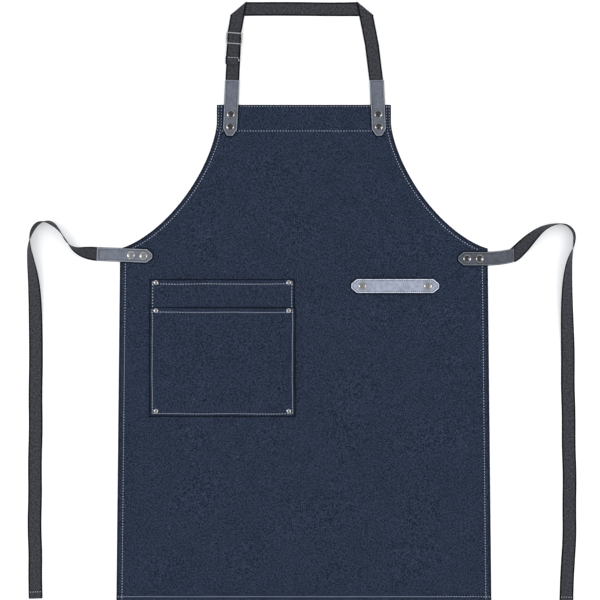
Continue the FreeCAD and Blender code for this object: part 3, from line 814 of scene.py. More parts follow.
@dataclass(frozen=True)
class Denim(Finish):
    """Woven cotton twill: dark warp, paler weft, uneven yarn, lint and rubbed edges, with painted shade
    along its edges and beside sewn-on pieces.
    """

    name: str
    dark: Colour = (0.0062, 0.0102, 0.0200, 1.0)
    pale: Colour = (0.0330, 0.0475, 0.0840, 1.0)
    rubbed: Colour = (0.055, 0.070, 0.110, 1.0)
    # near-black colour of the painted shade along edges and beside sewn-on pieces
    unfaded: Colour = (0.0030, 0.0045, 0.0100, 1.0)
    lee_share: float = 0.88
    speck: Colour = (0.30, 0.31, 0.34, 1.0)
    pitch: float = 1.15 * MM
    yarn_scale: float = 700.0
    bump: float = 0.35
    reach: float = 3.0 * MM
    hem_shade: float = 0.62
    lees: tuple[ShadeOutline, ...] = ()

    def paint(self, graph: Graph, effects: Effects) -> Surface:
        """Build the nodes of the surface.

        Args:
            graph: Graph of the material.
            effects: Node groups to place.

        Returns:
            The surface.
        """
        place, rim = own_place(graph), rim_of(graph)
        weave = graph.group(effects.weave, place=place, pitch=self.pitch)
        yarn = graph.group(effects.yarn, place=place, scale=self.yarn_scale)
        tone = graph.math("MULTIPLY_ADD", weave, 0.20, graph.ramp(yarn, 0.435, 0.565, -0.34, 0.95))
        for scale, detail, low, high in ((14.0, 3.0, -0.06, 0.05), (45.0, 2.0, -0.05, 0.04)):
            cloud = graph.ramp(graph.noise(place, scale, detail), 0.3, 0.7, low, high)
            tone = graph.math("ADD", tone, cloud)
        colour = graph.mix(tone, self.dark, self.pale)
        wear = graph.group(effects.wear, place=place, rim=rim, scale=300.0, amount=0.22)
        colour = graph.mix(wear, colour, self.rubbed)
        # painted shade: the cloth turns towards near-black along hems and outer edges, by the rim share
        colour = graph.mix(graph.ramp(rim, 0.0, 0.3, 0.0, self.hem_shade), colour, self.unfaded)
        # painted shade: a near-black line on the cloth just outside each sewn-on piece
        for lee in self.lees:
            mask = graph.group(effects.lee, place=place, reach=self.reach, **vars(lee))
            colour = graph.mix(graph.math("MULTIPLY", mask, self.lee_share), colour, self.unfaded)
        lint = graph.group(effects.lint, place=place, scale=90.0, amount=0.25)
        colour = graph.mix(lint, colour, self.speck)
        height = graph.math("MULTIPLY_ADD", yarn, 0.9, weave)
        numbers = {"Sheen Weight": 0.03, "Sheen Roughness": 0.5, "Specular IOR Level": 0.08}
        rough = graph.ramp(yarn, 0.3, 0.7, 0.82, 0.94)
        return Surface(colour, rough, height, self.bump, 0.35 * MM, numbers)


@dataclass(frozen=True)
class Webbing(Finish):
    """Charcoal cotton webbing in herringbone, with a dense dark selvedge at each side."""

    name: str = "charcoal webbing"
    dark: Colour = (0.0090, 0.0090, 0.0105, 1.0)
    pale: Colour = (0.074, 0.075, 0.087, 1.0)
    selvedge: Colour = (0.0040, 0.0040, 0.0050, 1.0)
    rubbed: Colour = (0.10, 0.10, 0.11, 1.0)
    half_width: float = 12.5 * MM
    selvedge_width: float = 2.7 * MM
    pitch: float = 1.5 * MM
    rib: float = 0.9 * MM

    def paint(self, graph: Graph, effects: Effects) -> Surface:
        """Build the nodes of the surface.

        Args:
            graph: Graph of the material.
            effects: Node groups to place.

        Returns:
            The surface.
        """
        run = run_place(graph)
        split = graph.put("ShaderNodeSeparateXYZ", {0: run}).outputs
        across = graph.math("ABSOLUTE", split[0])
        mirrored = graph.put("ShaderNodeCombineXYZ", {0: across, 1: split[1], 2: 0.0}).outputs[0]
        weave = graph.group(effects.weave, place=mirrored, pitch=self.pitch)
        yarn = graph.group(effects.yarn, place=run, scale=520.0)
        tone = graph.math("MULTIPLY_ADD", weave, 0.34, graph.ramp(yarn, 0.40, 0.60, -0.12, 0.72))
        colour = graph.mix(tone, self.dark, self.pale)
        start = self.half_width - self.selvedge_width
        dense = graph.ramp(across, start - 0.6 * MM, start + 0.2 * MM)
        colour = graph.mix(dense, colour, self.selvedge)
        wear = graph.group(effects.wear, place=run, rim=rim_of(graph), scale=400.0, amount=0.05)
        colour = graph.mix(wear, colour, self.rubbed)
        ribs = graph.math("SINE", graph.math("MULTIPLY", split[1], 2 * math.pi / self.rib))
        height = graph.math("MULTIPLY_ADD", ribs, 0.25, graph.math("MULTIPLY_ADD", yarn, 0.8, weave))
        numbers = {"Sheen Weight": 0.03, "Specular IOR Level": 0.10}
        return Surface(colour, graph.ramp(yarn, 0.3, 0.7, 0.78, 0.92), height, 0.5, 0.35 * MM, numbers)


@dataclass(frozen=True)
class Leather(Finish):
    """Slate grey leather: fine pores, a clouded dye, paler borders that are partly burnished wear and
    partly painted highlight, and near-black painted shade on its sides.
    """

    name: str = "slate leather"
    # brightness factor of this copy: above 1 is painted light, below 1 is painted shade
    shade: float = 1.0
    deep: Colour = (0.097, 0.107, 0.133)
    dye: Colour = (0.143, 0.157, 0.194)
    # pale rim colour: partly burnished wear, partly painted highlight on the rounded edge
    edge: Colour = (0.34, 0.36, 0.42)
    # near-black painted shade on the strip's sides, for the dark outline round it
    paint_colour: Colour = (0.008, 0.008, 0.010, 1.0)
    pore_scale: float = 1500.0

    def tint(self, colour: Colour) -> Colour:
        """Colour scaled by this copy's shade factor: painted light above 1, painted shade below 1, for
        a strip that the lamps light more or less.
        """
        return (*(min(1.0, part * self.shade) for part in colour), 1.0)

    def paint(self, graph: Graph, effects: Effects) -> Surface:
        """Build the nodes of the surface.

        Args:
            graph: Graph of the material.
            effects: Node groups to place.

        Returns:
            The surface.
        """
        place, rim = own_place(graph), rim_of(graph)
        values = {"Vector": place, "Scale": self.pore_scale}
        pores = graph.put("ShaderNodeTexVoronoi", values, feature="DISTANCE_TO_EDGE")
        crease = graph.ramp(pores.outputs["Distance"], 0.0, 0.12)
        scuff = graph.group(effects.scuffs, place=place, scale=220.0)
        cloud = graph.ramp(graph.noise(place, 150.0, 4.0), 0.25, 0.75)
        tone = graph.math("MULTIPLY", cloud, graph.math("MULTIPLY_ADD", crease, 0.25, 0.75))
        colour = graph.mix(tone, self.tint(self.deep), self.tint(self.dye))
        # pale rim: partly burnished wear, partly painted highlight where the rounded edge catches light
        wear = graph.group(effects.wear, place=place, rim=rim, scale=260.0, amount=0.95)
        colour = graph.mix(wear, colour, self.tint(self.edge))
        # painted shade: the strip's sides turn near-black
        colour = graph.mix(graph.ramp(rim, 0.74, 0.90), colour, self.paint_colour)
        height = graph.math("MULTIPLY_ADD", scuff, 0.4, crease)
        rough = graph.ramp(scuff, 0.3, 0.7, 0.36, 0.56)
        return Surface(colour, rough, height, 0.22, 0.12 * MM, {"Specular IOR Level": 0.35})


@dataclass(frozen=True)
class Thread(Finish):
    """Spun sewing thread whose plies wind round it."""

    name: str
    colour: Colour
    shade: Colour
    ply: float = 0.55 * MM

    def paint(self, graph: Graph, effects: Effects) -> Surface:
        """Build the nodes of the surface.

        Args:
            graph: Graph of the material.
            effects: Node groups to place.

        Returns:
            The surface.
        """
        weave = graph.group(effects.weave, place=run_place(graph), pitch=self.ply)
        yarn = graph.group(effects.yarn, place=own_place(graph), scale=900.0)
        tone = graph.math("MULTIPLY_ADD", weave, 0.5, graph.ramp(yarn, 0.35, 0.65, 0.0, 0.5))
        colour = graph.mix(tone, self.shade, self.colour)
        rough = graph.ramp(yarn, 0.3, 0.7, 0.5, 0.7)
        return Surface(colour, rough, weave, 0.6, 0.15 * MM, {"Sheen Weight": 0.2})


@dataclass(frozen=True)
class PlatedMetal(Finish):
    """Plated steel: mirror-like where polished, clouded and scuffed where handled."""

    name: str
    bright: Colour
    dull: Colour
    smooth: float = 0.16
    rough: float = 0.38
    metallic: float = 1.0

    def paint(self, graph: Graph, effects: Effects) -> Surface:
        """Build the nodes of the surface.

        Args:
            graph: Graph of the material.
            effects: Node groups to place.

        Returns:
            The surface.
        """
        scuff = graph.group(effects.scuffs, place=own_place(graph), scale=500.0)
        colour = graph.mix(graph.ramp(scuff, 0.36, 0.64), self.dull, self.bright)
        rough = graph.ramp(scuff, 0.3, 0.7, self.rough, self.smooth)
        return Surface(colour, rough, scuff, 0.08, 0.05 * MM, {"Metallic": self.metallic})


class Look(Enum):
    """Finishes that a piece may be made in."""

    DENIM = "denim"
    PANEL_DENIM = "panel denim"
    POCKET_DENIM = "pocket denim"
    FINE_THREAD = "fine thread"
    FACING = "facing"
    WEBBING = "webbing"
    LEATHER = "leather"
    # lit and shaded copies of the one leather, as painted light and painted shade
    PALE_LEATHER = "pale leather"
    LIGHT_LEATHER = "light leather"
    DARK_LEATHER = "dark leather"
    PALE_THREAD = "pale thread"
    SLATE_THREAD = "slate thread"
    CAP = "cap"
    # lit copy of the cap metal, as painted highlight
    SATIN_CAP = "satin cap"
    SMALL_CAP = "small cap"
    BACK_PLATE = "back plate"
    WIRE = "wire"


class Wardrobe:
    """Every finish of the apron, built once."""

    def __init__(self, leather_lees: Sequence[ShadeOutline]) -> None:
        """Build the materials.

        Args:
            leather_lees: Outlines of the leather strips on the panel.
        """
        back, front = (ShadeOutline.of_node(node) for node in ("pocket_back", "pocket_front"))
        finishes = {
            Look.DENIM: Denim("navy denim"),
            Look.PANEL_DENIM: Denim("navy panel denim", lees=(back, front, *leather_lees)),
            Look.POCKET_DENIM: Denim("navy pocket denim", lees=(front,)),
            Look.FINE_THREAD: Thread(
                "fine slate blue thread", (0.56, 0.59, 0.68, 1.0), (0.30, 0.32, 0.38, 1.0)
            ),
            Look.FACING: Denim("navy facing twill", pitch=0.8 * MM, yarn_scale=600.0),
            Look.WEBBING: Webbing(),
            Look.LEATHER: Leather(),
            # lit and shaded copies of one leather: painted highlight for the loop, painted light and
            # painted shade for the waist tabs
            Look.PALE_LEATHER: Leather("pale slate leather", 2.42),
            Look.LIGHT_LEATHER: Leather("light slate leather", 1.13),
            Look.DARK_LEATHER: Leather("dark slate leather", 0.62),
            Look.PALE_THREAD: Thread(
                "pale topstitch thread", (0.86, 0.89, 0.96, 1.0), (0.52, 0.55, 0.64, 1.0)
            ),
            # the leather's slate thread made near black: painted shade of the stitched groove
            Look.SLATE_THREAD: Thread(
                "dark slate thread", (0.014, 0.015, 0.019, 1.0), (0.006, 0.007, 0.009, 1.0)
            ),
            Look.CAP: PlatedMetal(
                "gunmetal caps", (0.60, 0.60, 0.61, 1.0), (0.33, 0.33, 0.34, 1.0), 0.14, 0.30
            ),
            # lit copy of the cap metal, brighter and less metallic: painted highlight for caps that
            # catch more light
            Look.SATIN_CAP: PlatedMetal(
                "satin caps", (0.66, 0.65, 0.655, 1.0), (0.44, 0.43, 0.435, 1.0), 0.16, 0.28, 0.74
            ),
            Look.SMALL_CAP: PlatedMetal(
                "bright nickel", (0.92, 0.91, 0.92, 1.0), (0.70, 0.69, 0.69, 1.0), 0.10, 0.20, 0.84
            ),
            Look.BACK_PLATE: PlatedMetal(
                "plain brass", (0.62, 0.50, 0.30, 1.0), (0.36, 0.28, 0.16, 1.0), 0.3, 0.5
            ),
            Look.WIRE: PlatedMetal(
                "satin nickel wire", (0.50, 0.50, 0.51, 1.0), (0.38, 0.38, 0.39, 1.0), 0.35, 0.5, 0.35
            ),
        }
        effects = Effects()
        self.materials = {look: finish.material(effects) for look, finish in finishes.items()}

    def __getitem__(self, look: Look) -> Material:
        """Find a material."""
        return self.materials[look]


# --- studio --------------------------------------------------------------------------------------
@dataclass
class Studio:
    """Pale lit table, soft light and a camera that looks straight down."""

    look_at: Place = (-10.5 * MM, 6.3 * MM)
    height: float = 3.4
    seen: float = 1.080
    sensor: float = 36.0
    floor_size: float = 9.0
    table_glow: float = 0.20
    room_glow: float = 0.98
    lamp_size: Place = (2.2, 0.9)
    wall: Colour = (0.95, 0.975, 1.0, 1.0)
    dim_wall: Colour = (0.62, 0.63, 0.65, 1.0)
    ceiling: Colour = (0.075, 0.074, 0.076, 1.0)
    lamps: tuple[tuple[str, Spot, float], ...] = (
        ("softbox_left", (-1.9, -0.05, 1.35), 19.0),
        ("softbox_right", (1.9, -0.15, 1.35), 17.0),
    )

    def camera(self) -> None:
        """Hang the camera over the apron."""
        data = bpy.data.cameras.new("camera")
        data.sensor_width = self.sensor
        data.lens = self.sensor * self.height / self.seen
        data.clip_end = 50.0
        camera = bpy.data.objects.new("camera", data)
        camera.location = (*self.look_at, self.height)
        bpy.context.scene.collection.objects.link(camera)
        bpy.context.scene.camera = camera

    def floor(self) -> None:
        """Lay the pale floor."""
        material, graph, shader = start_material("pale floor")
        cloud = graph.noise(own_place(graph), 3.0, 2.0)
        pale = graph.mix(cloud, (0.86, 0.865, 0.87, 1.0), (0.88, 0.885, 0.89, 1.0))
        graph.tree.links.new(pale, shader.inputs["Base Color"])
        numbers = {"Roughness": 0.9, "Specular IOR Level": 0.1, "Emission Strength": self.table_glow}
        for key, value in numbers.items():
            shader.inputs[key].default_value = value
        shader.inputs["Emission Color"].default_value = (1.0, 0.99, 1.0, 1.0)
        half = self.floor_size / 2
        mesh = bpy.data.meshes.new("floor")
        corners = [(-half, -half, 0.0), (half, -half, 0.0), (half, half, 0.0), (-half, half, 0.0)]
        mesh.from_pydata(corners, [], [(0, 1, 2, 3)])
        mesh.materials.append(material)
        floor = bpy.data.objects.new("floor", mesh)
        bpy.context.scene.collection.objects.link(floor)

    def lamp(self, name: str, place: Spot, power: float) -> None:
        """Set up a softbox that faces the apron.

        Args:
            name: Name of the lamp.
            place: Where it hangs.
            power: Its power in watts.
        """
        data = bpy.data.lights.new(name, "AREA")
        data.shape = "RECTANGLE"
        data.size, data.size_y = self.lamp_size
        data.energy = power
        lamp = bpy.data.objects.new(name, data)
        lamp.location = place
        aim = Vector((0.0, place[1] * 0.5, 0.0)) - Vector(place)
        lamp.rotation_euler = aim.to_track_quat("-Z", "Z").to_euler()
        bpy.context.scene.collection.objects.link(lamp)

    def light(self) -> None:
        """Light the table softly from both sides, under a dim ceiling that only metal mirrors."""
        scene = bpy.context.scene
        scene.view_settings.view_transform = "Standard"
        world = bpy.data.worlds.new("studio")
        world.use_nodes = True
        graph = Graph(world.node_tree)
        direction = graph.put("ShaderNodeTexCoord").outputs["Generated"]
        split = graph.put("ShaderNodeSeparateXYZ", {0: direction}).outputs
        mirrored = graph.mix(graph.ramp(split[2], 0.25, 0.80), self.dim_wall, self.ceiling)
        glossy = graph.put("ShaderNodeLightPath").outputs["Is Glossy Ray"]
        background = world.node_tree.nodes["Background"]
        graph.tree.links.new(graph.mix(glossy, self.wall, mirrored), background.inputs["Color"])
        background.inputs["Strength"].default_value = self.room_glow
        scene.world = world
        for name, place, power in self.lamps:
            self.lamp(name, place, power)


# --- apron cloth ---------------------------------------------------------------------------------
@dataclass(frozen=True)
class Ripples:
    """Sum of low waves in several directions, the same on every run."""

    shortest: float
    longest: float
    seed: int
    count: int = 9

    def at(self, x: Array, y: Array) -> Array:
        """Height of the waves, about -1 to 1.

        Args:
            x: Places across.
            y: Places along.

        Returns:
            Heights at those places.
        """
        dice = np.random.default_rng(self.seed)
        total = np.zeros(np.broadcast(x, y).shape)
        for _ in range(self.count):
            angle = dice.uniform(0, math.pi)
            number = 2 * math.pi / dice.uniform(self.shortest, self.longest)
            phase = dice.uniform(0, 2 * math.pi)
            total = total + np.sin(number * (x * math.cos(angle) + y * math.sin(angle)) + phase)
        return total / math.sqrt(2 * self.count)


@dataclass
class ApronPlan:
    """Outline of the apron's cut, from its frame's box and the armhole's curve."""

    low: Vector
    high: Vector
    bib_half: float = 156.5 * MM
    waist_half: float = 330.8 * MM
    armhole_top: float = 328.3 * MM
    reach: float = 187.7 * MM
    drop: float = 231.75 * MM
    power: float = 1.559

    @property
    def centre(self) -> float:
        """Centre line of bib and skirt."""
        return (self.low.x + self.high.x) / 2

    @property
    def waist_y(self) -> float:
        """Find where armhole and skirt meet.

        Returns:
            Height of the waist's corners.
        """
        share = (self.waist_half - self.bib_half) / self.reach
        t = (1 - (1 - share) ** self.power) ** (1 / self.power)
        return self.armhole_top - t * self.drop

    def half(self, y: Array | float) -> Array:
        """Find the half width of the apron.

        Args:
            y: Height, or heights.

        Returns:
            Distance from the centre line to the edge there.
        """
        y = np.asarray(y, float)
        t = np.clip((self.armhole_top - y) / self.drop, 0.0, 1.0)
        bend = 1 - (1 - t**self.power) ** (1 / self.power)
        hem_half = (self.high.x - self.low.x) / 2
        fall = np.clip((self.waist_y - y) / (self.waist_y - self.low.y), 0.0, 1.0)
        skirt = self.waist_half + (hem_half - self.waist_half) * fall
        return np.where(y > self.waist_y, self.bib_half + self.reach * bend, skirt)

    def slope(self, y: Array) -> Array:
        """Sideways run of the edge per unit of height, at heights y."""
        probe = 0.2 * MM
        return (self.half(y - probe) - self.half(y)) / probe

    def slant(self, y: Array | float) -> Array:
        """Cosine of the edge's slant from upright, at height y."""
        return 1 / np.hypot(1.0, self.slope(np.asarray(y, float)))

    def side_path(
        self, side: int, inset: float, start: float, end: float, step: float = 2.0 * MM
    ) -> Array:
        """Draw the line that keeps an inset from a side edge, from height start to height end.

        Args:
            side: -1 for the left edge, 1 for the right.
            inset: Distance from the edge.
            start: Height of the edge's first point.
            end: Height of the edge's last point.
            step: Height between points.

        Returns:
            Points (x, y), one row each.
        """
        y = np.linspace(start, end, max(2, int(abs(end - start) / step)))
        slope = self.slope(y)
        size = np.hypot(1.0, slope)
        x = self.half(y) - inset / size
        return np.stack([self.centre + side * x, y - inset * slope / size], axis=-1)


@dataclass
class ClothPanel:
    """Bib and skirt in one cloth, its turned-under hems, facing, armhole tapes and topstitching."""

    plan: ApronPlan
    wardrobe: Wardrobe
    held_up: list[Box]
    cloth: float = 0.6 * MM
    slack: float = 0.55 * MM
    side_hem: float = 12.0 * MM
    bottom_hem: float = 17.0 * MM
    facing_depth: float = 49.0 * MM
    tape: float = 8.0 * MM
    side_seam: float = 10.0 * MM
    bottom_seam: float = 15.0 * MM
    armhole_seam: float = 8.0 * MM
    top_seam: float = 3.0 * MM
    fade: float = 14.0 * MM
    stitch: Stitch = Stitch()
    wide_waves: Ripples = Ripples(90 * MM, 260 * MM, 3)
    small_waves: Ripples = Ripples(18 * MM, 45 * MM, 5)
    puckers: Ripples = Ripples(8 * MM, 13 * MM, 7)

    def edge_distances(self, x: Array, y: Array) -> tuple[Array, Array, Array]:
        """Distance of a place from the side edge, the bottom edge and the top edge."""
        side = (self.plan.half(y) - np.abs(x - self.plan.centre)) * self.plan.slant(y)
        return side, y - self.plan.low.y, self.plan.high.y - y

    def surface(self, x: Array, y: Array) -> Array:
        """Height of the cloth's middle.

        Args:
            x: Places across.
            y: Places along.

        Returns:
            Heights at those places.
        """
        side, bottom, top = self.edge_distances(x, y)
        low = np.asarray(y) < self.plan.waist_y
        strip = np.where(low, self.side_hem, self.tape)
        seam = np.where(low, self.side_seam, self.armhole_seam)
        support = 1 - smooth_step(side - strip, 0.0, self.fade)
        for gap, hem in ((bottom, self.bottom_hem), (top, self.facing_depth)):
            support = np.maximum(support, 1 - smooth_step(gap, hem, hem + self.fade))
        for x0, y0, x1, y1 in self.held_up:
            away_x = np.maximum(np.maximum(x0 - x, x - x1), 0)
            away_y = np.maximum(np.maximum(y0 - y, y - y1), 0)
            away = np.hypot(away_x, away_y)
            support = np.maximum(support, 1 - smooth_step(away, 2 * MM, 30 * MM))
        loose = 1 - support
        waves = 0.50 * MM * self.wide_waves.at(x, y) + 0.10 * MM * self.small_waves.at(x, y)
        height = self.plan.high.z - self.cloth / 2 - self.slack * loose + loose * waves
        near = bump_at(side, seam, 1.1 * MM) + bump_at(bottom, self.bottom_seam, 1.1 * MM)
        near = near + bump_at(top, self.facing_depth - 2 * MM, 1.1 * MM)
        spread = bump_at(side, seam, 6 * MM) + bump_at(bottom, self.bottom_seam, 7 * MM)
        height = height - 0.16 * MM * near + 0.07 * MM * spread * self.puckers.at(x, y)
        return np.maximum(height, self.cloth / 2 + 0.02 * MM)

    def on_top(self, path: Array, clear: float = 0.0) -> Array:
        """Lift a level path to the cloth's upper face."""
        z = self.surface(path[:, 0], path[:, 1]) + self.cloth / 2 + clear
        return np.column_stack([path, z])

    def heights(self) -> Array:
        """Choose the grid's rows, closer together at the hems and on the armholes.

        Returns:
            Their heights, from the bottom up.
        """
        plan = self.plan
        low, waist, arm, high = plan.low.y, plan.waist_y, plan.armhole_top, plan.high.y
        inset = self.cloth / 2
        hem = low + inset + np.array([0.0, 1.5, 3, 5, 7, 9, 11, 13, 14, 15, 16, 17, 19, 22, 26]) * MM
        skirt = np.linspace(hem[-1], waist, 118)[1:]
        arms = waist + (arm - waist) * np.linspace(0, 1, 84)[1:] ** 1.15
        rest = np.linspace(arm, high - inset - 2 * MM, 16)[1:]
        return np.concatenate([hem, skirt, arms, rest, [high - inset - 1 * MM, high - inset]])

    def build(self) -> Piece:
        """Build the panel and all that is sewn of it.

        Returns:
            The panel, with its hems, facing, tapes and threads riding along.
        """
        rows = self.heights()
        near = np.array([0.0, 1.2, 2.4, 4, 6, 7, 8, 9, 10, 11, 12, 14, 17, 22]) * MM
        middle = np.linspace(0.0, 1.0, 96)[1:-1]
        half = self.plan.half(rows)[:, None] - self.cloth / 2
        left = -half + near
        right = half - near[::-1]
        between = left[:, -1:] + (right[:, :1] - left[:, -1:]) * middle
        x = self.plan.centre + np.concatenate([left, between, right], axis=1)
        y = np.broadcast_to(rows[:, None], x.shape)
        nearest = np.minimum.reduce(self.edge_distances(x, y))
        # rim share near the edges, which darkens the hems as painted shade
        rims = 0.3 * (1 - smooth_step(nearest, 1.5 * MM, 6.0 * MM))
        cloth = Layer(np.stack([x, y, self.surface(x, y)], axis=-1), self.cloth, rims=rims)
        panel = cloth.build("denim_panel", self.wardrobe[Look.PANEL_DENIM])
        dress(panel, Slot.DENIM, "apron_panel")
        extras = [*self.hems(), *self.seams()]
        wide = 2 * float(self.plan.half(self.plan.low.y))
        tall = self.plan.high.y - self.plan.low.y
        ys = np.linspace(self.plan.low.y, self.plan.high.y, 400)
        area = float(np.mean(2 * self.plan.half(ys))) * tall
        self.facing()
        for side, word in SIDES:
            self.armhole_tape(side, word)
        return panel

    def strip(
        self,
        name: str,
        edges: Sequence[Array],
        bottom: float,
        thickness: float,
        slot: Slot,
        *nodes: str,
    ) -> Piece:
        """Make a narrow strip of cloth below the panel, between two lines.

        Args:
            name: Name of the piece.
            edges: Points (x, y) of its inner edge, and of its outer edge.
            bottom: Height of its lower face.
            thickness: Its thickness.
            slot: Material slot that it takes its finish from.
            *nodes: CAD nodes that it replaces.

        Returns:
            The new piece, riding on the apron.
        """
        inner, outer = edges
        share = np.array([0.0, 0.12, 0.35, 0.65, 0.88, 1.0])[None, :, None]
        way = unit_rows(outer - inner)
        a, b = inner + way * thickness / 2, outer - way * thickness / 2
        level = a[:, None] * (1 - share) + b[:, None] * share
        z = bottom + thickness / 2 + 0.04 * MM * self.puckers.at(level[..., 0], level[..., 1])
        look = Look.FACING if slot is Slot.FACING else Look.DENIM
        made = Layer(np.dstack([level, z]), thickness).build(name, self.wardrobe[look])
        return dress(made, slot, *nodes)

    def hems(self) -> list[Piece]:
        """Turn under the two sides and the bottom.

        Returns:
            The three strips.
        """
        plan = self.plan
        edges = {}
        for side, word in SIDES:
            ends = (plan.low.y + 0.5 * MM, plan.waist_y - self.tape)
            edges[f"side_hem_{word}"] = [
                plan.side_path(side, inset, *ends, step=6 * MM) for inset in (self.side_hem, 0.1 * MM)
            ]
        reach = float(plan.half(plan.low.y)) - self.side_hem - 0.4 * MM
        x = plan.centre + np.linspace(-1, 1, 110) * reach
        edges["bottom_hem"] = [level_line(x, plan.low.y + gap) for gap in (self.bottom_hem, 0.1 * MM)]
        return [
            self.strip(name, pair, 0.3 * MM, self.cloth, Slot.DENIM) for name, pair in edges.items()
        ]

    def facing(self) -> None:
        """Lay the deep facing behind the bib's top."""
        low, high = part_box("bib_facing")
        x = np.linspace(low.x, high.x, 80)
        edges = (level_line(x, high.y - 0.2 * MM), level_line(x, low.y))
        made = self.strip(
            "bib_facing_cloth", edges, 0.3 * MM, self.cloth, Slot.FACING, "bib_facing"
        )

    def armhole_tape(self, side: int, word: str) -> None:
        """Cover the raw edge behind one armhole with tape.

        Args:
            side: -1 for the left armhole, 1 for the right.
            word: "left" or "right".
        """
        node = f"armhole_binding_{word}"
        ends = (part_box(node)[1].y, self.plan.waist_y + 1.5 * MM)
        edges = [self.plan.side_path(side, gap, *ends, step=3 * MM) for gap in (self.tape, 0.2 * MM)]
        name = f"armhole_tape_{word}"
        made = self.strip(name, edges, 0.35 * MM, 0.55 * MM, Slot.FACING, node)

    def seams(self) -> list[Piece]:
        """Sew the hems, the armholes and the bib's band, seen on both faces.

        Returns:
            The pale threads and the fine threads.
        """
        plan = self.plan
        corner = plan.low.y + self.bottom_seam
        band = plan.high.y - self.facing_depth + 2 * MM
        pale, fine = [], []
        for side, _ in SIDES:
            ends = (plan.low.y + 1 * MM, plan.waist_y - 6 * MM)
            pale.append(plan.side_path(side, self.side_seam, *ends))
            pale.append(plan.side_path(side, self.armhole_seam, band, plan.waist_y + 5 * MM))
            fine.append(plan.side_path(side, self.armhole_seam, plan.high.y - 2 * MM, band))
            fine.append(plan.side_path(side, self.top_seam, plan.high.y - 2 * MM, band))
        wide = np.linspace(-1, 1, 200)
        for y, half, kind in (
            (corner, float(plan.half(corner)) - 1 * MM, pale),
            (plan.high.y - self.top_seam, plan.bib_half - 1 * MM, fine),
            (band, plan.bib_half - self.armhole_seam, pale),
        ):
            kind.append(level_line(plan.centre + wide * half, y))
        made = []
        for name, paths, thread in (
            ("panel_topstitching", pale, self.wardrobe[Look.PALE_THREAD]),
            ("bib_edge_stitching", fine, self.wardrobe[Look.FINE_THREAD]),
        ):
            draft = MeshDraft()
            for path in paths:
                self.stitch.sew(draft, self.on_top(path))
                under = np.column_stack([path, np.full(len(path), 0.32 * MM)])
                self.stitch.sew(draft, under, -UP)
            made.append(dress(draft.build(name, thread)))
        return made


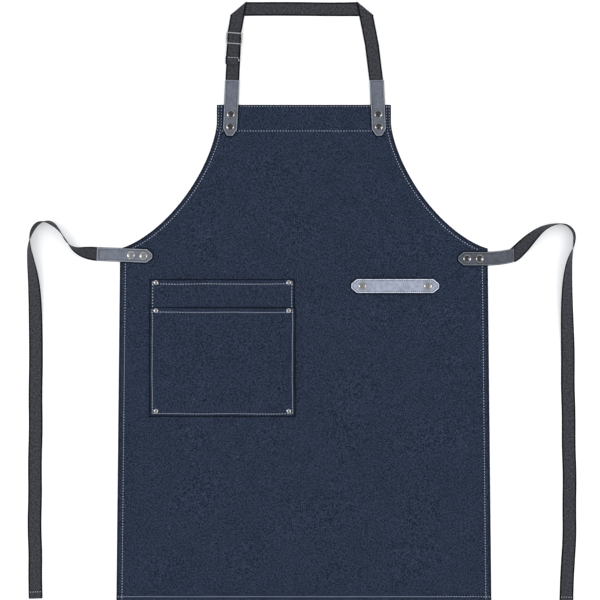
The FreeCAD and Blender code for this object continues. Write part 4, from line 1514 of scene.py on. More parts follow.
# --- pockets -------------------------------------------------------------------------------------
@dataclass
class Pocket:
    """One patch pocket layer: three sides sewn flat, its mouth standing off a little."""

    name: str
    node: str
    wardrobe: Wardrobe
    level: float
    rise: float
    mouth_seam: float
    side_seam: float = 4.0 * MM
    sides_from: float = 0.0
    cloth: float = 0.6 * MM
    flange: float = 9.0 * MM
    slope: float = 55.0 * MM
    mouth_hem: float = 11.0 * MM
    turned_in: float = 9.0 * MM
    look: Look = Look.DENIM
    seed: int = 21
    stitch: Stitch = Stitch(pitch=5.0 * MM, radius=0.48 * MM)

    def __post_init__(self) -> None:
        """Read the layer's place from the frame."""
        self.low, self.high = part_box(self.node)
        self.waves = Ripples(70 * MM, 160 * MM, self.seed)
        self.puckers = Ripples(8 * MM, 12 * MM, self.seed + 1)
        self.wobble = Ripples(45 * MM, 120 * MM, self.seed + 2, count=4)

    def edge_wobble(self, x: Array, y: Array) -> tuple[Array, Array]:
        """Small unevenness of the outline, as sewn by hand and eye."""
        return 0.5 * MM * self.wobble.at(0 * x + 0.3, y), 0.5 * MM * self.wobble.at(x, 0 * y)

    def surface(self, x: Array, y: Array) -> Array:
        """Height of the layer's middle.

        Args:
            x: Places across.
            y: Places along.

        Returns:
            Heights at those places.
        """
        side = np.minimum(x - self.low.x, self.high.x - x)
        bottom = y - self.low.y
        mouth = self.high.y - y
        swell = smooth_step(side, self.flange, self.flange + self.slope)
        swell = swell * smooth_step(bottom, self.flange, self.flange + self.slope)
        swell = swell * (1 - 0.35 * bump_at(mouth, 70 * MM, 40 * MM))
        height = self.level + self.cloth / 2 + self.rise * swell
        height = height + swell * 0.35 * MM * self.waves.at(x, y)
        below = smooth_step(mouth, self.mouth_seam, self.mouth_seam + 1.6 * MM)
        height = height + 0.28 * MM * (1 - below)
        near = bump_at(mouth, self.mouth_seam, 0.9 * MM)
        sewn = bump_at(side, self.side_seam, 0.9 * MM) + bump_at(bottom, self.side_seam, 0.9 * MM)
        spread = bump_at(side, self.side_seam, 5 * MM) + bump_at(bottom, self.side_seam, 5 * MM)
        spread = spread + bump_at(mouth, self.mouth_seam, 5 * MM)
        return height - 0.12 * MM * (near + sewn) + 0.05 * MM * spread * self.puckers.at(x, y)

    def sewn_line(self, points: Sequence[Place]) -> Array:
        """Draw a line through corners on the layer's upper face.

        Args:
            points: The corners (x, y).

        Returns:
            Points of the line, close together.
        """
        path = []
        for (x0, y0), (x1, y1) in zip(points, points[1:]):
            count = max(2, int(math.hypot(x1 - x0, y1 - y0) / (2 * MM)))
            share = np.linspace(0, 1, count)
            path.append(np.column_stack([x0 + (x1 - x0) * share, y0 + (y1 - y0) * share]))
        flat = np.vstack(path)
        keep = np.concatenate([[True], np.linalg.norm(np.diff(flat, axis=0), axis=1) > 1e-7])
        flat = flat[keep]
        z = self.surface(flat[:, 0], flat[:, 1]) + self.cloth / 2
        shift_x, shift_y = self.edge_wobble(flat[:, 0], flat[:, 1])
        return np.column_stack([flat[:, 0] + shift_x, flat[:, 1] + shift_y, z])

    def allowance(self, draft: MeshDraft) -> None:
        """Append the cloth turned under along the mouth and round the other three sides.

        Args:
            draft: Mesh to append to.
        """
        share = np.linspace(0.0, 1.0, 7)[None, :, None]
        gap, low = 0.35 * MM, self.high.y - self.mouth_hem - 0.6 * MM
        across = np.linspace(self.low.x + gap, self.high.x - gap, 90)
        bands = [(level_line(across, self.high.y - gap), level_line(across, low + 0.6 * MM))]
        sides = []
        for inset in (gap, self.turned_in):
            x0, x1, y0 = self.low.x + inset, self.high.x - inset, self.low.y + inset
            down = np.column_stack([np.full(60, x0), np.linspace(low, y0, 60)])
            level = np.column_stack([np.linspace(x0, x1, 80), np.full(80, y0)])
            up = np.column_stack([np.full(60, x1), np.linspace(y0, low, 60)])
            sides.append(np.vstack([down, level[1:-1], up]))
        bands.append((sides[0], sides[1]))
        for outer, inner in bands:
            level = outer[:, None] * (1 - share) + inner[:, None] * share
            x, y = level[..., 0], level[..., 1]
            shift_x, shift_y = self.edge_wobble(x, y)
            z = self.surface(x, y) - self.cloth - 0.02 * MM
            Layer(np.stack([x + shift_x, y + shift_y, z], axis=-1), self.cloth).add_to(draft)

    def build(self) -> Piece:
        """Build the layer with its stitching.

        Returns:
            The layer, riding on the apron.
        """
        half = self.cloth / 2
        edge = np.array([0.0, 1.0, 2.0, 3.0, 4.0, 5.0, 6.5, 8.5, 11.0]) * MM
        inner_x = np.linspace(self.low.x + half + edge[-1], self.high.x - half - edge[-1], 62)[1:-1]
        x = np.concatenate([self.low.x + half + edge, inner_x, self.high.x - half - edge[::-1]])
        mouth = np.array([0.0, 1.0, 2.5, 4.0, 5.5, 6.5, 7.2, 8.0, 9.0, 10.5, 13.0]) * MM
        inner_y = np.linspace(self.low.y + half + edge[-1], self.high.y - half - mouth[-1], 58)[1:-1]
        y = np.concatenate([self.low.y + half + edge, inner_y, self.high.y - half - mouth[::-1]])
        xs, ys = np.meshgrid(x, y)
        z = self.surface(xs, ys)
        shift_x, shift_y = self.edge_wobble(xs, ys)
        draft = MeshDraft()
        Layer(np.stack([xs + shift_x, ys + shift_y, z], axis=-1), self.cloth).add_to(draft)
        self.allowance(draft)
        made = dress(draft.build(self.name, self.wardrobe[self.look]), Slot.DENIM, self.node)
        left, right = self.low.x + self.side_seam, self.high.x - self.side_seam
        top = self.high.y - self.mouth_seam
        thread = MeshDraft()
        mouth_line = [(self.low.x + 1 * MM, top), (self.high.x - 1 * MM, top)]
        self.stitch.sew(thread, self.sewn_line(mouth_line))
        start = self.high.y - 1 * MM
        if self.sides_from:
            for x0 in (left, right):
                self.stitch.sew(thread, self.sewn_line([(x0, start), (x0, self.sides_from)]))
        else:
            foot = self.low.y + self.side_seam
            corners = [(left, start), (left, foot), (right, foot), (right, start)]
            self.stitch.sew(thread, self.sewn_line(corners))
        seam = dress(thread.build(f"{self.name}_stitching", self.wardrobe[Look.PALE_THREAD]))
        return made


# --- leather -------------------------------------------------------------------------------------
@dataclass
class LeatherStrip:
    """Leather strip along a line from its tip, chamfered there, with a sewn and creased border."""

    name: str
    node: str
    tip: Place
    angle: float
    width: float
    length: float
    chamfer: Place
    rivets: Sequence[float]
    wardrobe: Wardrobe | None = None
    bend: float = 0.0
    both_ends: bool = False
    arch: float = 0.0
    foot: float = 0.0
    ramp: float = 0.0
    border: float = 3.3 * MM
    look: Look = Look.LEATHER
    stitch: Stitch = Stitch(3.8 * MM, 0.60, 0.56 * MM, 0.05 * MM)
    end_lines: Sequence[float] = ()

    def __post_init__(self) -> None:
        """Read the strip's levels from the frame."""
        low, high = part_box(self.node)
        self.bottom = low.z
        self.top = high.z - self.arch
        self.thickness = self.top - self.bottom
        angle = math.radians(self.angle)
        self.along = np.array((math.cos(angle), math.sin(angle)))
        self.across = np.array((-self.along[1], self.along[0]))

    def drift(self, s: Array) -> Array:
        """Sideways shift of the centre line, nothing in the tip's half."""
        half = self.length / 2
        return self.bend * np.clip((s - half) / half, 0.0, 1.0) ** 2

    def lift(self, s: Array) -> Array:
        """Find how far the strip's middle stands off its feet.

        Args:
            s: Places along the strip.

        Returns:
            The rise at those places, nothing in a strip that lies flat.
        """
        if not self.arch:
            return np.zeros_like(s)
        end = self.length - self.foot
        rise = smooth_step(s, self.foot, self.foot + self.ramp)
        return self.arch * rise * (1 - smooth_step(s, end - self.ramp, end))

    def chamfer_half(self, s: Array) -> Array:
        """Find the half width between the lines of the chamfers, even where they cut nothing off.

        Args:
            s: Places along the strip.

        Returns:
            Half widths at those places.
        """
        cut_s, cut_t = self.chamfer
        from_end = np.minimum(s, self.length - s) if self.both_ends else s
        return self.width / 2 - cut_t + from_end * cut_t / cut_s

    def half(self, s: Array) -> Array:
        """Half width at s."""
        return np.minimum(self.width / 2, self.chamfer_half(s))

    def outline_gap(self, s: Array, t: Array) -> Array:
        """Find the distance of places from the outline.

        Args:
            s: Places along the strip.
            t: Places across it.

        Returns:
            Distances of those places.
        """
        gap = np.minimum(self.width / 2 - np.abs(t), np.minimum(s, self.length - s))
        lean = self.chamfer[0] / math.hypot(*self.chamfer)
        return np.minimum(gap, (self.chamfer_half(s) - np.abs(t)) * lean)

    def relief(self, s: Array, t: Array) -> Array:
        """Shape the creased border, the soft crown and a dip round each rivet.

        Args:
            s: Places along the strip.
            t: Places across it.

        Returns:
            Heights of the leather's middle at those places.
        """
        gap = self.outline_gap(s, t)
        height = (self.bottom + self.top) / 2 + self.lift(s)
        height = height - 0.16 * MM * bump_at(gap, self.border, 0.55 * MM)
        height = height - 0.22 * MM * (1 - smooth_step(gap, 0.0, 1.6 * MM))
        for rivet in self.rivets:
            away = np.hypot(s - rivet, t)
            height = height - 0.30 * MM * bump_at(away, 6.5 * MM, 3.2 * MM)
        return height

    def place(self, s: Array, t: Array, z: Array) -> Array:
        """Turn places on the strip into points of the frame.

        Args:
            s: Places along the strip.
            t: Places across it.
            z: Heights.

        Returns:
            The points.
        """
        sideways = (t + self.drift(s))[..., None]
        level = np.array(self.tip) + self.along * s[..., None] + self.across * sideways
        return np.concatenate([level, z[..., None]], axis=-1)

    def border_line(self, gap: float) -> Array:
        """Draw the closed line that keeps a gap from the outline.

        Args:
            gap: Distance from the outline.

        Returns:
            Points (s, t), close together.
        """
        cut_s, cut_t = self.chamfer
        half = self.width / 2 - gap
        slanted = gap * cut_t / cut_s - gap * math.hypot(cut_s, cut_t) / cut_s
        tip_half = (self.width / 2 - cut_t) + slanted
        corner = (half - tip_half) * cut_s / cut_t + gap
        far = self.length - gap
        near = [(corner, -half), (gap, -tip_half), (gap, tip_half), (corner, half)]
        if self.both_ends:
            end = [(self.length - s, t) for s, t in reversed(near)]
        else:
            end = [(far, half), (far, -half)]
        corners = near + end + near[:1]
        points = []
        for (s0, t0), (s1, t1) in zip(corners, corners[1:]):
            count = max(2, int(math.hypot(s1 - s0, t1 - t0) / MM))
            share = np.linspace(0, 1, count, endpoint=False)
            points.append(np.column_stack([s0 + (s1 - s0) * share, t0 + (t1 - t0) * share]))
        points.append(np.array([corners[-1]]))
        return np.vstack(points)

    def build(self) -> Piece:
        """Build the strip with its stitching.

        Returns:
            The strip, riding on the apron.
        """
        inset = self.thickness / 2
        count = max(40, int(self.length / (1.3 * MM)))
        rows = np.linspace(inset, self.length - inset, count)
        share = np.linspace(-1.0, 1.0, 31)
        share = np.sign(share) * (1 - (1 - np.abs(share)) ** 1.3)
        half = self.half(rows) - inset
        s = np.broadcast_to(rows[:, None], (len(rows), len(share)))
        t = half[:, None] * share
        runs = np.stack([t, s], axis=-1)
        # rim share over the border, which pales it as wear and painted highlight
        rims = OUTER_ROW_RIM * (1 - smooth_step(self.outline_gap(s, t), 1.5 * MM, 2.9 * MM))
        surface = self.place(s, t, self.relief(s, t))
        leather = Layer(surface, self.thickness, runs=runs, rims=rims, rim_steps=5)
        made = leather.build(self.name, self.wardrobe[self.look])
        dress(made, Slot.LEATHER, self.node)
        thread = MeshDraft()
        lines = [self.border_line(self.border)]
        for at in self.end_lines:
            t_line = np.linspace(-1, 1, 24) * (self.width / 2 - self.border)
            lines.append(np.column_stack([np.full(24, self.length - at), t_line]))
        for line in lines:
            z = self.relief(line[:, 0], line[:, 1])
            self.stitch.sew(thread, self.place(line[:, 0], line[:, 1], z + self.thickness / 2))
        # near-black thread: real stitching, coloured as painted shade of its groove
        dress(thread.build(f"{self.name}_stitching", self.wardrobe[Look.SLATE_THREAD]))
        return made

    def lee(self) -> ShadeOutline:
        """Take the strip's outline, for the painted shade line beside it.

        Returns:
            The outline.
        """
        x, y = np.array(self.tip) + self.along * self.length / 2
        half = (self.length / 2, self.width / 2)
        return ShadeOutline(float(x), float(y), math.radians(self.angle), *half, *self.chamfer)

    def rivet_places(self) -> list[Spot]:
        """Find where the rivets go through.

        Returns:
            Points on the strip's upper face.
        """
        made = []
        for s in self.rivets:
            x, y, z = self.place(np.array(s), np.array(0.0), np.array(self.top))
            made.append((float(x), float(y), float(z)))
        return made


# --- rivets --------------------------------------------------------------------------------------
@dataclass
class RivetSet:
    """Domed caps with a pressed ring, and the back plates and posts that hold them."""

    caps_node: str
    posts_node: str
    wardrobe: Wardrobe
    slot: Slot
    kinds: Sequence[tuple[str, Look, list[Spot]]]
    radius: float
    height: float
    plate: float
    sink: float = 0.15 * MM

    def cap_profile(self) -> list[Place]:
        """Draw the section of a cap.

        Returns:
            Radius and height of each corner, from below to its crown.
        """
        shares = [
            (0.0, 0.0), (0.94, 0.0), (0.985, 0.04), (1.0, 0.10), (1.0, 0.18), (0.985, 0.30),
            (0.95, 0.43), (0.90, 0.56), (0.84, 0.68), (0.77, 0.78), (0.70, 0.85), (0.63, 0.895),
            (0.57, 0.915), (0.54, 0.918), (0.52, 0.905), (0.50, 0.905), (0.47, 0.925),
            (0.40, 0.955), (0.30, 0.98), (0.15, 0.995), (0.0, 1.0),
        ]
        return [(a * self.radius, b * self.height) for a, b in shares]

    def post_profile(self, top: float) -> list[Place]:
        """Draw the section of a back plate with its post.

        Args:
            top: Height that the post reaches.

        Returns:
            Radius and height of each corner, from below to the post's top.
        """
        rim, depth, stem = self.plate, 0.8 * MM, self.plate * 0.36
        return [
            (0.0, 0.25 * depth), (stem * 0.7, 0.25 * depth), (stem * 0.95, 0.06 * depth),
            (rim * 0.88, 0.0), (rim * 0.97, 0.15 * depth), (rim, 0.45 * depth),
            (rim * 0.97, 0.8 * depth), (rim * 0.9, depth), (stem, depth), (stem, top), (0.0, top),
        ]

    def build(self) -> None:
        """Build the caps, each kind one piece, and the posts; the first kind replaces the node."""
        posts = MeshDraft()
        for k, (word, look, places) in enumerate(self.kinds):
            caps = MeshDraft()
            for x, y, z in places:
                turned(caps, self.cap_profile(), (x, y, z - self.sink))
                turned(posts, self.post_profile(z - 0.1 * MM), (x, y, 0.0), 36)
            made = caps.build(f"{self.caps_node}_{word}", self.wardrobe[look])
            dress(made, self.slot, *([] if k else [self.caps_node]))
        made = posts.build(f"{self.posts_node}_turned", self.wardrobe[Look.BACK_PLATE])
        dress(made, Slot.POST, self.posts_node)


# --- neck strap ----------------------------------------------------------------------------------
@dataclass
class NeckStrap:
    """The neck's webbing with its folds, its hemmed tail and its sewn eye, and the wire slider."""

    wardrobe: Wardrobe
    left_tip: Place
    right_tip: Place
    left_angle: float
    hinge_y: float = 403.0 * MM
    bend_from: float = 402.6 * MM
    bend_to: float = 412.0 * MM
    width: float = 25.0 * MM
    thickness: float = 1.2 * MM
    leg_z: float = 2.2 * MM
    floor_z: float = 0.62 * MM
    strap_z: float = 5.6 * MM
    eye_z: float = 4.2 * MM
    band_top: float = 542.5 * MM
    left_leg: tuple[Place, float] = ((-123.7 * MM, 513.9 * MM), 0.1745)
    right_leg: tuple[Place, float] = ((109.3 * MM, 513.9 * MM), -0.1955)
    right_knee: Place = (118.8 * MM, 465.3 * MM)
    right_foot: Place = (126.4 * MM, 403.3 * MM)
    held_from: float = 12.0 * MM
    tail_s: float = 129.4 * MM
    tail_hem: float = 12.9 * MM
    tail_slip: float = 1.3 * MM
    tail_rise: float = 1.28 * MM
    slider_s: float = 175.5 * MM
    slider_travel: float = 18.0 * MM
    leg_bend_s: float = 188.0 * MM
    step_down: float = 12.0 * MM
    landing_s: float = 122.0 * MM
    seam_length: float = 8.0 * MM
    eye_slope: float = 4.5 * MM
    wire: float = 0.9 * MM
    slider_half: float = 15.0 * MM
    rail_reach: float = 9.4 * MM
    slider_turn: float = -4.2

    @property
    def eye_start(self) -> float:
        """Where the sewn eye begins, on the left tab's line."""
        return self.slider_s - self.slider_travel - self.wire - 0.6 * MM

    def on_line(self, s: float, t: float, z: float) -> Array:
        """Find a point on the left tab's line.

        Args:
            s: Distance from the tab's tip.
            t: Distance to the line's left.
            z: Height.

        Returns:
            The point.
        """
        a = math.radians(self.left_angle)
        along = np.array((math.cos(a), math.sin(a)))
        across = np.array((-along[1], along[0]))
        x, y = np.array(self.left_tip) + along * s + across * t
        return np.array((x, y, z))

    def cross(self, centre: Place, slope: float, y: float, z: float) -> tuple[Array, Array]:
        """Find both edges of a leg.

        Args:
            centre: A point on the leg's middle.
            slope: The leg's sideways run per unit of y.
            y: Where along the leg.
            z: Height.

        Returns:
            The left and the right edge.
        """
        half = self.width / 2 * math.hypot(1, slope)
        x = centre[0] + slope * (y - centre[1])
        return np.array((x - half, y, z)), np.array((x + half, y, z))

    def fold_ends(self, leg: tuple[Place, float], outer: int) -> tuple[Array, Array]:
        """Find the ends of a leg's fold line, at table height.

        Args:
            leg: A point on the leg's middle, and its slope.
            outer: 1 where the outer side is the right one, -1 where it is the left one.

        Returns:
            The inner upper end and the outer lower end.
        """
        low = self.cross(*leg, self.band_top - self.width, 0.0)[1 if outer > 0 else 0]
        high = self.cross(*leg, self.band_top, 0.0)[0 if outer > 0 else 1]
        return high, low

    def long_strap(self) -> Strap:
        """Lay the right leg, fold, band, fold, left leg over the slider, and the hemmed tail.

        Returns:
            The strap.
        """
        strap = Strap(self.width, self.thickness)
        lift = np.array((0.0, 0.0, self.leg_z))
        held = self.right_tip[1] + self.held_from
        knee, foot = self.right_knee, self.right_foot
        foot_slope = (foot[0] - knee[0]) / (foot[1] - knee[1])
        tab_slope = -math.tan(math.radians(90 - self.left_angle))
        for y in (held, self.hinge_y - 20 * MM, self.hinge_y - 3 * MM):
            strap.station(*self.cross(self.right_tip, tab_slope, y, self.leg_z))
        for y in np.linspace(self.hinge_y, self.bend_to + 2 * MM, 9):
            strap.station(*self.cross(foot, foot_slope, float(y), self.leg_z))
        knee_slope = (foot_slope + self.right_leg[1]) / 2
        strap.station(*self.cross(knee, knee_slope, knee[1], self.leg_z))
        inner, outer = self.fold_ends(self.right_leg, 1)
        radius = (self.leg_z - self.floor_z) / 2
        strap.station(inner + lift, outer + lift)
        run = outer - inner
        strap.turn((-run[1], run[0]), radius, rising=False)
        inner_left, outer_left = self.fold_ends(self.left_leg, -1)
        rest = np.array((0.0, 0.0, self.floor_z))
        bow = 0.8 * MM
        for share in np.linspace(0, 1, 9)[1:]:
            sag = np.array((0.0, bow * math.sin(math.pi * share * 2) * (1 - share), 0.0))
            a = inner + (inner_left - inner) * share + rest - sag
            b = outer + (outer_left - outer) * share + rest - sag
            strap.station(a, b, -UP)
        run = outer_left - inner_left
        strap.turn((run[1], -run[0]), radius, rising=True)
        half = self.width / 2
        bend = self.on_line(self.leg_bend_s, 0.0, 0.0)
        for drop in (0.0, 0.25, 0.5, 0.75, 1.0):
            y = bend[1] + self.step_down * (1 - drop)
            z = self.leg_z + (self.strap_z - self.leg_z) * float(smooth_step(drop, 0.0, 1.0))
            if drop < 1.0:
                left, right = self.cross(*self.left_leg, float(y), z)
            else:
                left, right = (self.on_line(self.leg_bend_s, t, z) for t in (half, -half))
            strap.station(right, left)

        def lay(s: float, z: float, slip: float = 0.0, up: Array = UP) -> None:
            """Add a station square to the left tab's line, slipped a little to one side."""
            strap.station(self.on_line(s, slip - half, z), self.on_line(s, slip + half, z), up)

        reach = self.rail_reach
        for off in np.linspace(reach, -reach, 11):
            z = self.strap_z + 0.85 * MM * math.cos(math.pi / 2 * off / reach) ** 2 - 0.05 * MM
            lay(self.slider_s + off, z)
        lay(self.slider_s - 16 * MM, self.strap_z, 0.4 * MM)
        lay(self.tail_s + 8 * MM, self.strap_z, 1.0 * MM)
        lay(self.tail_s + 0.6 * MM, self.strap_z, self.tail_slip)
        back = self.on_line(0, 0, 0) - self.on_line(1, 0, 0)
        strap.turn((back[0], back[1]), self.tail_rise / 2, rising=True)
        end = self.tail_s + self.tail_hem
        lay(end, self.strap_z + self.tail_rise, self.tail_slip, -UP)
        return strap

    def short_strap(self) -> Strap:
        """Lay webbing from under the left tab to the slider, and back round its bar.

        Returns:
            The strap.
        """
        strap = Strap(self.width, self.thickness)
        half = self.width / 2
        eye_end = self.slider_s + self.wire + 0.6 * MM
        fold = (self.hinge_y - self.left_tip[1]) / math.sin(math.radians(self.left_angle))

        def lay(s: float, z: float, up: float = 1.0) -> None:
            """Add a station square to the line."""
            strap.station(self.on_line(s, half, z), self.on_line(s, -half, z), UP * up)

        for s in (self.held_from, fold - 20 * MM, fold - 3 * MM, fold, fold + 4 * MM, fold + 9 * MM):
            lay(s, self.leg_z)
        for share in np.linspace(0, 1, 6)[1:]:
            drop = (self.floor_z - self.leg_z) * float(smooth_step(share, 0, 1))
            lay(fold + 9 * MM + (self.landing_s - fold) * float(share), self.leg_z + drop)
        lay(eye_end - 1 * MM, self.floor_z)
        ahead = self.on_line(1, 0, 0) - self.on_line(0, 0, 0)
        strap.turn((ahead[0], ahead[1]), (self.eye_z - self.floor_z) / 2, rising=True, steps=12)
        low = self.floor_z + self.thickness + 0.05 * MM
        for share in np.linspace(0, 1, 7):
            drop = (low - self.eye_z) * float(smooth_step(share, 0, 1))
            lay(self.eye_start + 0.4 * MM - self.eye_slope * float(share), self.eye_z + drop, -1.0)
        lay(self.eye_start - self.eye_slope - self.seam_length, low, -1.0)
        return strap

    def seams(self) -> Piece:
        """Sew the tail's hem and the eye.

        Returns:
            The threads.
        """
        stitch = Stitch(pitch=4.2 * MM, shown=0.56, radius=0.50 * MM, wander=0.55 * MM)
        draft = MeshDraft()
        half = self.width / 2 - 2.2 * MM
        top = self.strap_z + self.tail_rise + self.thickness / 2
        row = np.linspace(-half, half, 20)
        end = self.tail_s + self.tail_hem - 1.6 * MM
        stitch.sew(draft, np.array([self.on_line(end, t, top) for t in row]))
        edge = np.linspace(end, self.tail_s + 3 * MM, 8)
        stitch.sew(draft, np.array([self.on_line(s, -half, top) for s in edge]))
        low = self.floor_z + self.thickness * 1.5 + 0.05 * MM
        for back in (2 * MM, 6 * MM):
            s = self.eye_start - self.eye_slope - back
            stitch.sew(draft, np.array([self.on_line(s, t, low) for t in row]))
        made = draft.build("neck_strap_stitching", self.wardrobe[Look.PALE_THREAD])
        return dress(made, body=Body.NECK_LOOP)

    def corner_path(self, corners: Sequence[Sequence[float]], rounding: float, closed: bool) -> Array:
        """Path through corners, each rounded.

        Args:
            corners: Corner points.
            rounding: Length that each corner takes off its two sides.
            closed: Whether the last corner joins the first.

        Returns:
            Points of the path.
        """
        points = np.array(corners, float)
        count = len(points)
        path: list[Array] = []
        for k in range(count):
            if not closed and k in (0, count - 1):
                path.append(points[k])
                continue
            before = unit_rows(points[k - 1] - points[k])
            after = unit_rows(points[(k + 1) % count] - points[k])
            a, b = points[k] + before * rounding, points[k] + after * rounding
            for share in np.linspace(0, 1, 6):
                path.append(a * (1 - share) ** 2 + 2 * points[k] * share * (1 - share) + b * share**2)
        return np.array(path)

    def slider(self) -> None:
        """Bent wire frame with its cross bar in the webbing's eye."""
        low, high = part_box("slider")
        rail_z = high.z - self.wire
        bar_z = low.z + self.wire
        reach_x, reach_y = self.slider_half - self.wire, self.rail_reach
        square = ((-1, -1), (1, -1), (1, 1), (-1, 1))
        ring = [(a * reach_x, b * reach_y, rail_z) for a, b in square]
        heights = ((-1, rail_z - 0.2 * MM), (-1, bar_z), (1, bar_z), (1, rail_z - 0.2 * MM))
        bar = [(a * reach_x, 0, z) for a, z in heights]
        centre = self.on_line(self.slider_s, 0, 0)
        turn = math.radians(self.slider_turn)
        cos, sin = math.cos(turn), math.sin(turn)
        spin = np.array([[cos, -sin, 0], [sin, cos, 0], [0, 0, 1]])
        draft = MeshDraft()
        for corners, rounding, closed in ((ring, 1.8 * MM, True), (bar, 1.2 * MM, False)):
            path = self.corner_path(corners, rounding, closed) @ spin.T + centre
            tube(draft, path, self.wire, closed, 16)
        made = draft.build("wire_slider", self.wardrobe[Look.WIRE])
        dress(made, Slot.SLIDER, "slider", body=Body.SLIDER)

    def build(self) -> None:
        """Build the strap, the eye's webbing, the stitching and the slider."""
        pieces = (
            ("neck_strap_webbing", self.long_strap(), ("neck_strap", "neck_webbing_end_right")),
            ("slider_webbing_loop", self.short_strap(), ("slider_webbing", "neck_webbing_end_left")),
        )
        for name, strap, nodes in pieces:
            made = strap.layer().build(name, self.wardrobe[Look.WEBBING])
            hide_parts(*nodes)
            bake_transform(made)
        self.seams()
        self.slider()


# --- waist ties ----------------------------------------------------------------------------------
@dataclass
class WaistTie:
    """Free waist tie: it leaves its tab flat, turns on edge, loops round and runs down."""

    name: str
    node: str
    held_node: str
    tab: LeatherStrip
    route: Sequence[Spot]
    side: float
    length: float
    wardrobe: Wardrobe
    width: float = 25.0 * MM
    thickness: float = 1.2 * MM
    tuck: float = 3.0 * MM
    hem: float = 14.0 * MM
    held_from: float = 12.0 * MM

    @staticmethod
    def follow(points: Sequence[Sequence[float]], resolution: int = 10) -> Array:
        """Smooth line that is drawn by control points.

        Args:
            points: Control points.
            resolution: Points that each control point adds.

        Returns:
            Points of the line.
        """
        data = bpy.data.curves.new("route", "CURVE")
        data.dimensions = "3D"
        data.resolution_u = resolution
        spline = data.splines.new("NURBS")
        spline.points.add(len(points) - 1)
        for point, place in zip(spline.points, points):
            point.co = (*place, 1.0)
        spline.order_u = 3
        spline.use_endpoint_u = True
        guide = bpy.data.objects.new("route", data)
        mesh = bpy.data.meshes.new_from_object(guide)
        line = np.array([v.co for v in mesh.vertices], float)
        bpy.data.objects.remove(guide)
        bpy.data.meshes.remove(mesh)
        return line

    def rest_height(self, roll: Array) -> Array:
        """Height of the webbing's middle when its lower edge lies on the table."""
        return self.width / 2 * np.abs(np.sin(roll)) + self.thickness / 2 * np.abs(np.cos(roll))

    def build(self) -> None:
        """Build the tie, its hem and stitching, and the webbing held under its tab."""
        end = np.array(self.tab.length - self.tuck)
        start = self.tab.place(end, np.array(0.0), np.array(0.0))
        turned_in = self.tab.place(np.array(self.tab.length), np.array(0.0), np.array(0.0))
        rolls = [0.0, 0.0, *(math.radians(roll) for _, _, roll in self.route)]
        line = self.follow([start, turned_in, *((x, y, 0.0) for x, y, _ in self.route)])
        roll = self.follow([(r, 0.0, 0.0) for r in rolls])[:, 0]
        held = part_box(self.held_node)
        away = np.linalg.norm(line[:, :2] - line[0, :2], axis=1)
        lift = held[0].z * (1 - smooth_step(away, 2 * MM, 26 * MM))
        line[:, 2] = self.rest_height(roll) + lift
        level = np.gradient(line[:, :2], axis=0)
        way = unit_rows(np.column_stack([level, np.zeros(len(level))]))
        across = np.column_stack([-way[:, 1], way[:, 0], np.zeros(len(way))]) * self.side
        wide = across * np.cos(roll)[:, None] + UP * np.sin(roll)[:, None]
        face = UP * np.cos(roll)[:, None] - across * np.sin(roll)[:, None]
        strap = Strap(self.width, self.thickness, step=6 * MM)
        for centre, edge, look in zip(line, wide * self.width / 2, face):
            strap.station(centre + edge, centre - edge, look)
        tie = strap.layer().build(self.name, self.wardrobe[Look.WEBBING])
        dress(tie, Slot.WEBBING, self.node)
        hem = self.end_hem(line, way, across)
        self.held_end()

    def end_hem(self, line: Array, way: Array, across: Array) -> list[Piece]:
        """Turn over the end of the tie and sew it.

        Args:
            line: Points of the tie's middle.
            way: Its level direction at each of them.
            across: Its level sideways direction at each of them.

        Returns:
            The hem and its threads.
        """
        last, back, wide = line[-1], -way[-1], across[-1]
        top = self.thickness * 1.5 + 0.04 * MM
        strap = Strap(self.width - 0.4 * MM, self.thickness)
        for step in (0.1 * MM, self.hem * 0.5, self.hem):
            centre = last + back * step
            centre[2] = top
            strap.station(centre + wide * strap.width / 2, centre - wide * strap.width / 2)
        hem = strap.layer().build(f"{self.name}_hem", self.wardrobe[Look.WEBBING])
        dress(hem, Slot.WEBBING)
        thread = MeshDraft()
        row = np.linspace(-1, 1, 20)[:, None] * wide * (self.width / 2 - 1.5 * MM)
        centre = last + back * (self.hem - 2.2 * MM)
        centre[2] = top + self.thickness / 2
        Stitch(pitch=4.0 * MM, wander=0.3 * MM).sew(thread, centre + row)
        seam = thread.build(f"{self.name}_stitching", self.wardrobe[Look.PALE_THREAD])
        return [hem, dress(seam)]

    def held_end(self) -> None:
        """Lay the webbing that is riveted under the tab."""
        low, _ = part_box(self.held_node)
        z = low.z + self.thickness / 2
        half = self.width / 2
        strap = Strap(self.width, self.thickness)
        for s in np.linspace(self.held_from, self.tab.length - self.tuck - 0.7 * MM, 16):
            left, right = (self.tab.place(s, np.array(t), np.array(z)) for t in (half, -half))
            strap.station(left, right)
        made = strap.layer().build(f"{self.held_node}_strip", self.wardrobe[Look.WEBBING])
        dress(made, Slot.WEBBING, self.held_node)


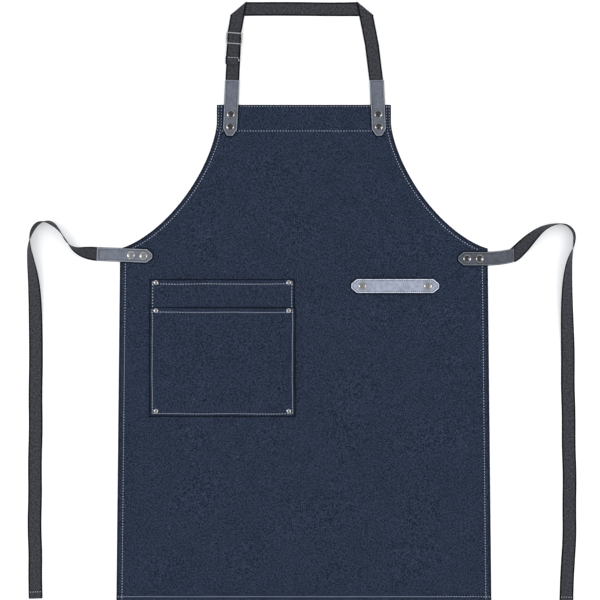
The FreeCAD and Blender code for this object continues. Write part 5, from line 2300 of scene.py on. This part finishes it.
LEFT_ROUTE = [
    (-0.3970, 0.0916, 34),
    (-0.4155, 0.0970, 74),
    (-0.4290, 0.1100, 102),
    (-0.4410, 0.1300, 92),
    (-0.4575, 0.1470, 73),
    (-0.4785, 0.1475, 96),
    (-0.4920, 0.1315, 98),
    (-0.4975, 0.1050, 72),
    (-0.4935, 0.0750, 50),
    (-0.4890, 0.0420, 29),
    (-0.4868, 0.0030, 12),
    (-0.4860, -0.0480, 0),
    (-0.4855, -0.1050, 0),
    (-0.4868, -0.1650, 0),
    (-0.4858, -0.2250, 0),
    (-0.4878, -0.2850, 0),
    (-0.4870, -0.3450, 0),
    (-0.4888, -0.4000, 0),
    (-0.4865, -0.4500, 0),
    (-0.4873, -0.4920, 0),
    (-0.4863, -0.5305, 0),
]
RIGHT_ROUTE = [
    (0.3880, 0.1005, 14),
    (0.4035, 0.1170, 42),
    (0.4220, 0.1335, 66),
    (0.4430, 0.1425, 84),
    (0.4670, 0.1435, 90),
    (0.4825, 0.1280, 91),
    (0.4810, 0.1040, 89),
    (0.4735, 0.0800, 62),
    (0.4700, 0.0500, 43),
    (0.4690, 0.0080, 27),
    (0.4700, -0.0380, 14),
    (0.4718, -0.0900, 0),
    (0.4712, -0.1450, 0),
    (0.4732, -0.2000, 0),
    (0.4728, -0.2550, 0),
    (0.4750, -0.3100, 0),
    (0.4740, -0.3650, 0),
    (0.4748, -0.4180, 0),
    (0.4715, -0.4680, 0),
    (0.4695, -0.5060, 0),
    (0.4688, -0.5400, 0),
]


@dataclass
class Apron:
    """The whole apron, sub-assembly by sub-assembly."""

    tab_length: float = 101.0 * MM
    cap_from_tip: float = 16.5 * MM
    cap_spacing: float = 22.5 * MM
    loop_cap_from_end: float = 20.5 * MM
    neck_angle: float = 87.43
    left_tip: Place = (-136.7 * MM, 301.3 * MM)
    right_tip: Place = (131.9 * MM, 301.3 * MM)
    cap_radius: float = 7.5 * MM
    cap_height: float = 3.2 * MM
    small_radius: float = 4.0 * MM
    small_height: float = 1.6 * MM

    def strips(self) -> dict[str, LeatherStrip]:
        """Set out the four leather tabs and the towel loop.

        Returns:
            The strips, by a short name.
        """
        caps = [self.cap_from_tip + k * self.cap_spacing for k in range(2)]
        neck, waist, loop = (12.5 * MM, 7.6 * MM), (10.5 * MM, 8.8 * MM), (10.8 * MM, 9.0 * MM)

        def tab(node: str, tip: Place, angle: float, chamfer: Place, **more: object) -> LeatherStrip:
            """One tab of the common length."""
            wide = 26.0 * MM if "neck" in node else 25.0 * MM
            name = f"{node}_leather"
            return LeatherStrip(name, node, tip, angle, wide, self.tab_length, chamfer, caps, **more)

        low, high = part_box("towel_loop")
        length = high.x - low.x
        tip = (low.x, (low.y + high.y) / 2)
        ends = [self.loop_cap_from_end, length - self.loop_cap_from_end]
        # the left waist tab and the loop take lit copies of the leather, the right waist tab a shaded
        # one: painted light and shade
        left = {"end_lines": (5.4 * MM,), "look": Look.LIGHT_LEATHER}
        right = {"bend": 6.3 * MM, "look": Look.DARK_LEATHER}
        return {
            "neck_left": tab("neck_tab_left", self.left_tip, self.neck_angle, neck),
            "neck_right": tab("neck_tab_right", self.right_tip, 180 - self.neck_angle, neck),
            "waist_left": tab("waist_tab_left", (-275.5 * MM, 85.1 * MM), 177.75, waist, **left),
            "waist_right": tab("waist_tab_right", (273.5 * MM, 80.6 * MM), 0.0, waist, **right),
            "loop": LeatherStrip(
                "towel_loop_leather", "towel_loop", tip, 0.0, high.y - low.y, length, loop, ends,
                both_ends=True, arch=4.4 * MM, foot=30.0 * MM, ramp=22.0 * MM,
                look=Look.PALE_LEATHER,
            ),
        }

    def held_up(self) -> list[Box]:
        """Find where pockets, tabs and the towel loop are sewn or riveted to the cloth.

        Returns:
            Their level boxes.
        """
        made = []
        for node in ("pocket_front", "pocket_back", "towel_loop", "waist_tab_left", "waist_tab_right"):
            low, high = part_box(node)
            made.append((low.x, low.y, high.x, high.y))
        return made

    def pocket_rivets(self) -> list[Spot]:
        """Find where the six small rivets sit, each on the pocket cloth below it.

        Returns:
            Points under their caps.
        """
        low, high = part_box("pocket_rivet_caps")
        radius = self.small_radius
        sides = (low.x + radius, high.x - radius)
        top, bottom = high.y - radius, low.y + radius
        front_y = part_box("pocket_front")[1].y - 4.6 * MM
        on_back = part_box("apron_panel")[1].z + 1.3 * MM
        on_front = on_back + 1.3 * MM
        upper = [(x, top, on_back) for x in sides]
        return upper + [(x, y, on_front) for x in sides for y in (front_y, bottom)]

    def ties(self, strips: dict[str, LeatherStrip], wardrobe: Wardrobe) -> None:
        """Build the two waist ties.

        Args:
            strips: The leather strips, by their short names.
            wardrobe: The finishes.
        """
        for word, side, route, length in (
            ("left", 1.0, LEFT_ROUTE, 0.808), ("right", -1.0, RIGHT_ROUTE, 0.802)
        ):
            node, held, tab = f"waist_tie_{word}", f"waist_webbing_end_{word}", strips[f"waist_{word}"]
            WaistTie(f"{node}_webbing", node, held, tab, route, side, length, wardrobe).build()

    def pockets(self, wardrobe: Wardrobe) -> None:
        """Build the two pocket layers; the front one covers the lower part of the back one's sides.

        Args:
            wardrobe: The finishes.
        """
        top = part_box("apron_panel")[1].z
        front_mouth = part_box("pocket_front")[1].y
        back = {"sides_from": front_mouth, "seed": 21, "look": Look.POCKET_DENIM}
        for word, level, rise, seam, more in (
            ("back", 0.7 * MM, 1.6 * MM, 7.4 * MM, back),
            ("front", 2.0 * MM, 2.6 * MM, 7.8 * MM, {"seed": 31}),
        ):
            node = f"pocket_{word}"
            Pocket(f"{node}_cloth", node, wardrobe, top + level, rise, seam, **more).build()

    def build(self) -> None:
        """Build every piece in the order it is sewn."""
        strips = self.strips()
        wardrobe = Wardrobe([strip.lee() for strip in strips.values()])
        for strip in strips.values():
            strip.wardrobe = wardrobe
        self.ties(strips, wardrobe)
        ClothPanel(ApronPlan(*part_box("apron_panel")), wardrobe, self.held_up()).build()
        self.pockets(wardrobe)
        big, satin = [], []
        for key, strip in strips.items():
            strip.build()
            # caps on the left waist tab and the loop take the lit copy of the cap metal: painted
            # highlight
            (satin if key in ("waist_left", "loop") else big).extend(strip.rivet_places())
        kinds = [("domed", Look.CAP, big), ("satin", Look.SATIN_CAP, satin)]
        size = (self.cap_radius, self.cap_height, 5.0 * MM)
        RivetSet("rivet_caps", "rivet_posts", wardrobe, Slot.RIVET, kinds, *size).build()
        caps, posts = "pocket_rivet_caps", "pocket_rivet_posts"
        kinds = [("domed", Look.SMALL_CAP, self.pocket_rivets())]
        size = (self.small_radius, self.small_height, 3.4 * MM, 0.05 * MM)
        RivetSet(caps, posts, wardrobe, Slot.SMALL_RIVET, kinds, *size).build()
        NeckStrap(wardrobe, self.left_tip, self.right_tip, self.neck_angle).build()


def main() -> None:
    """Load the frame, set up the studio and build the apron."""
    logging.basicConfig(level=logging.INFO, format="%(name)s: %(message)s")
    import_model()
    studio = Studio()
    studio.camera()
    Apron().build()
    studio.floor()
    studio.light()


if __name__ == "__main__":
    main()
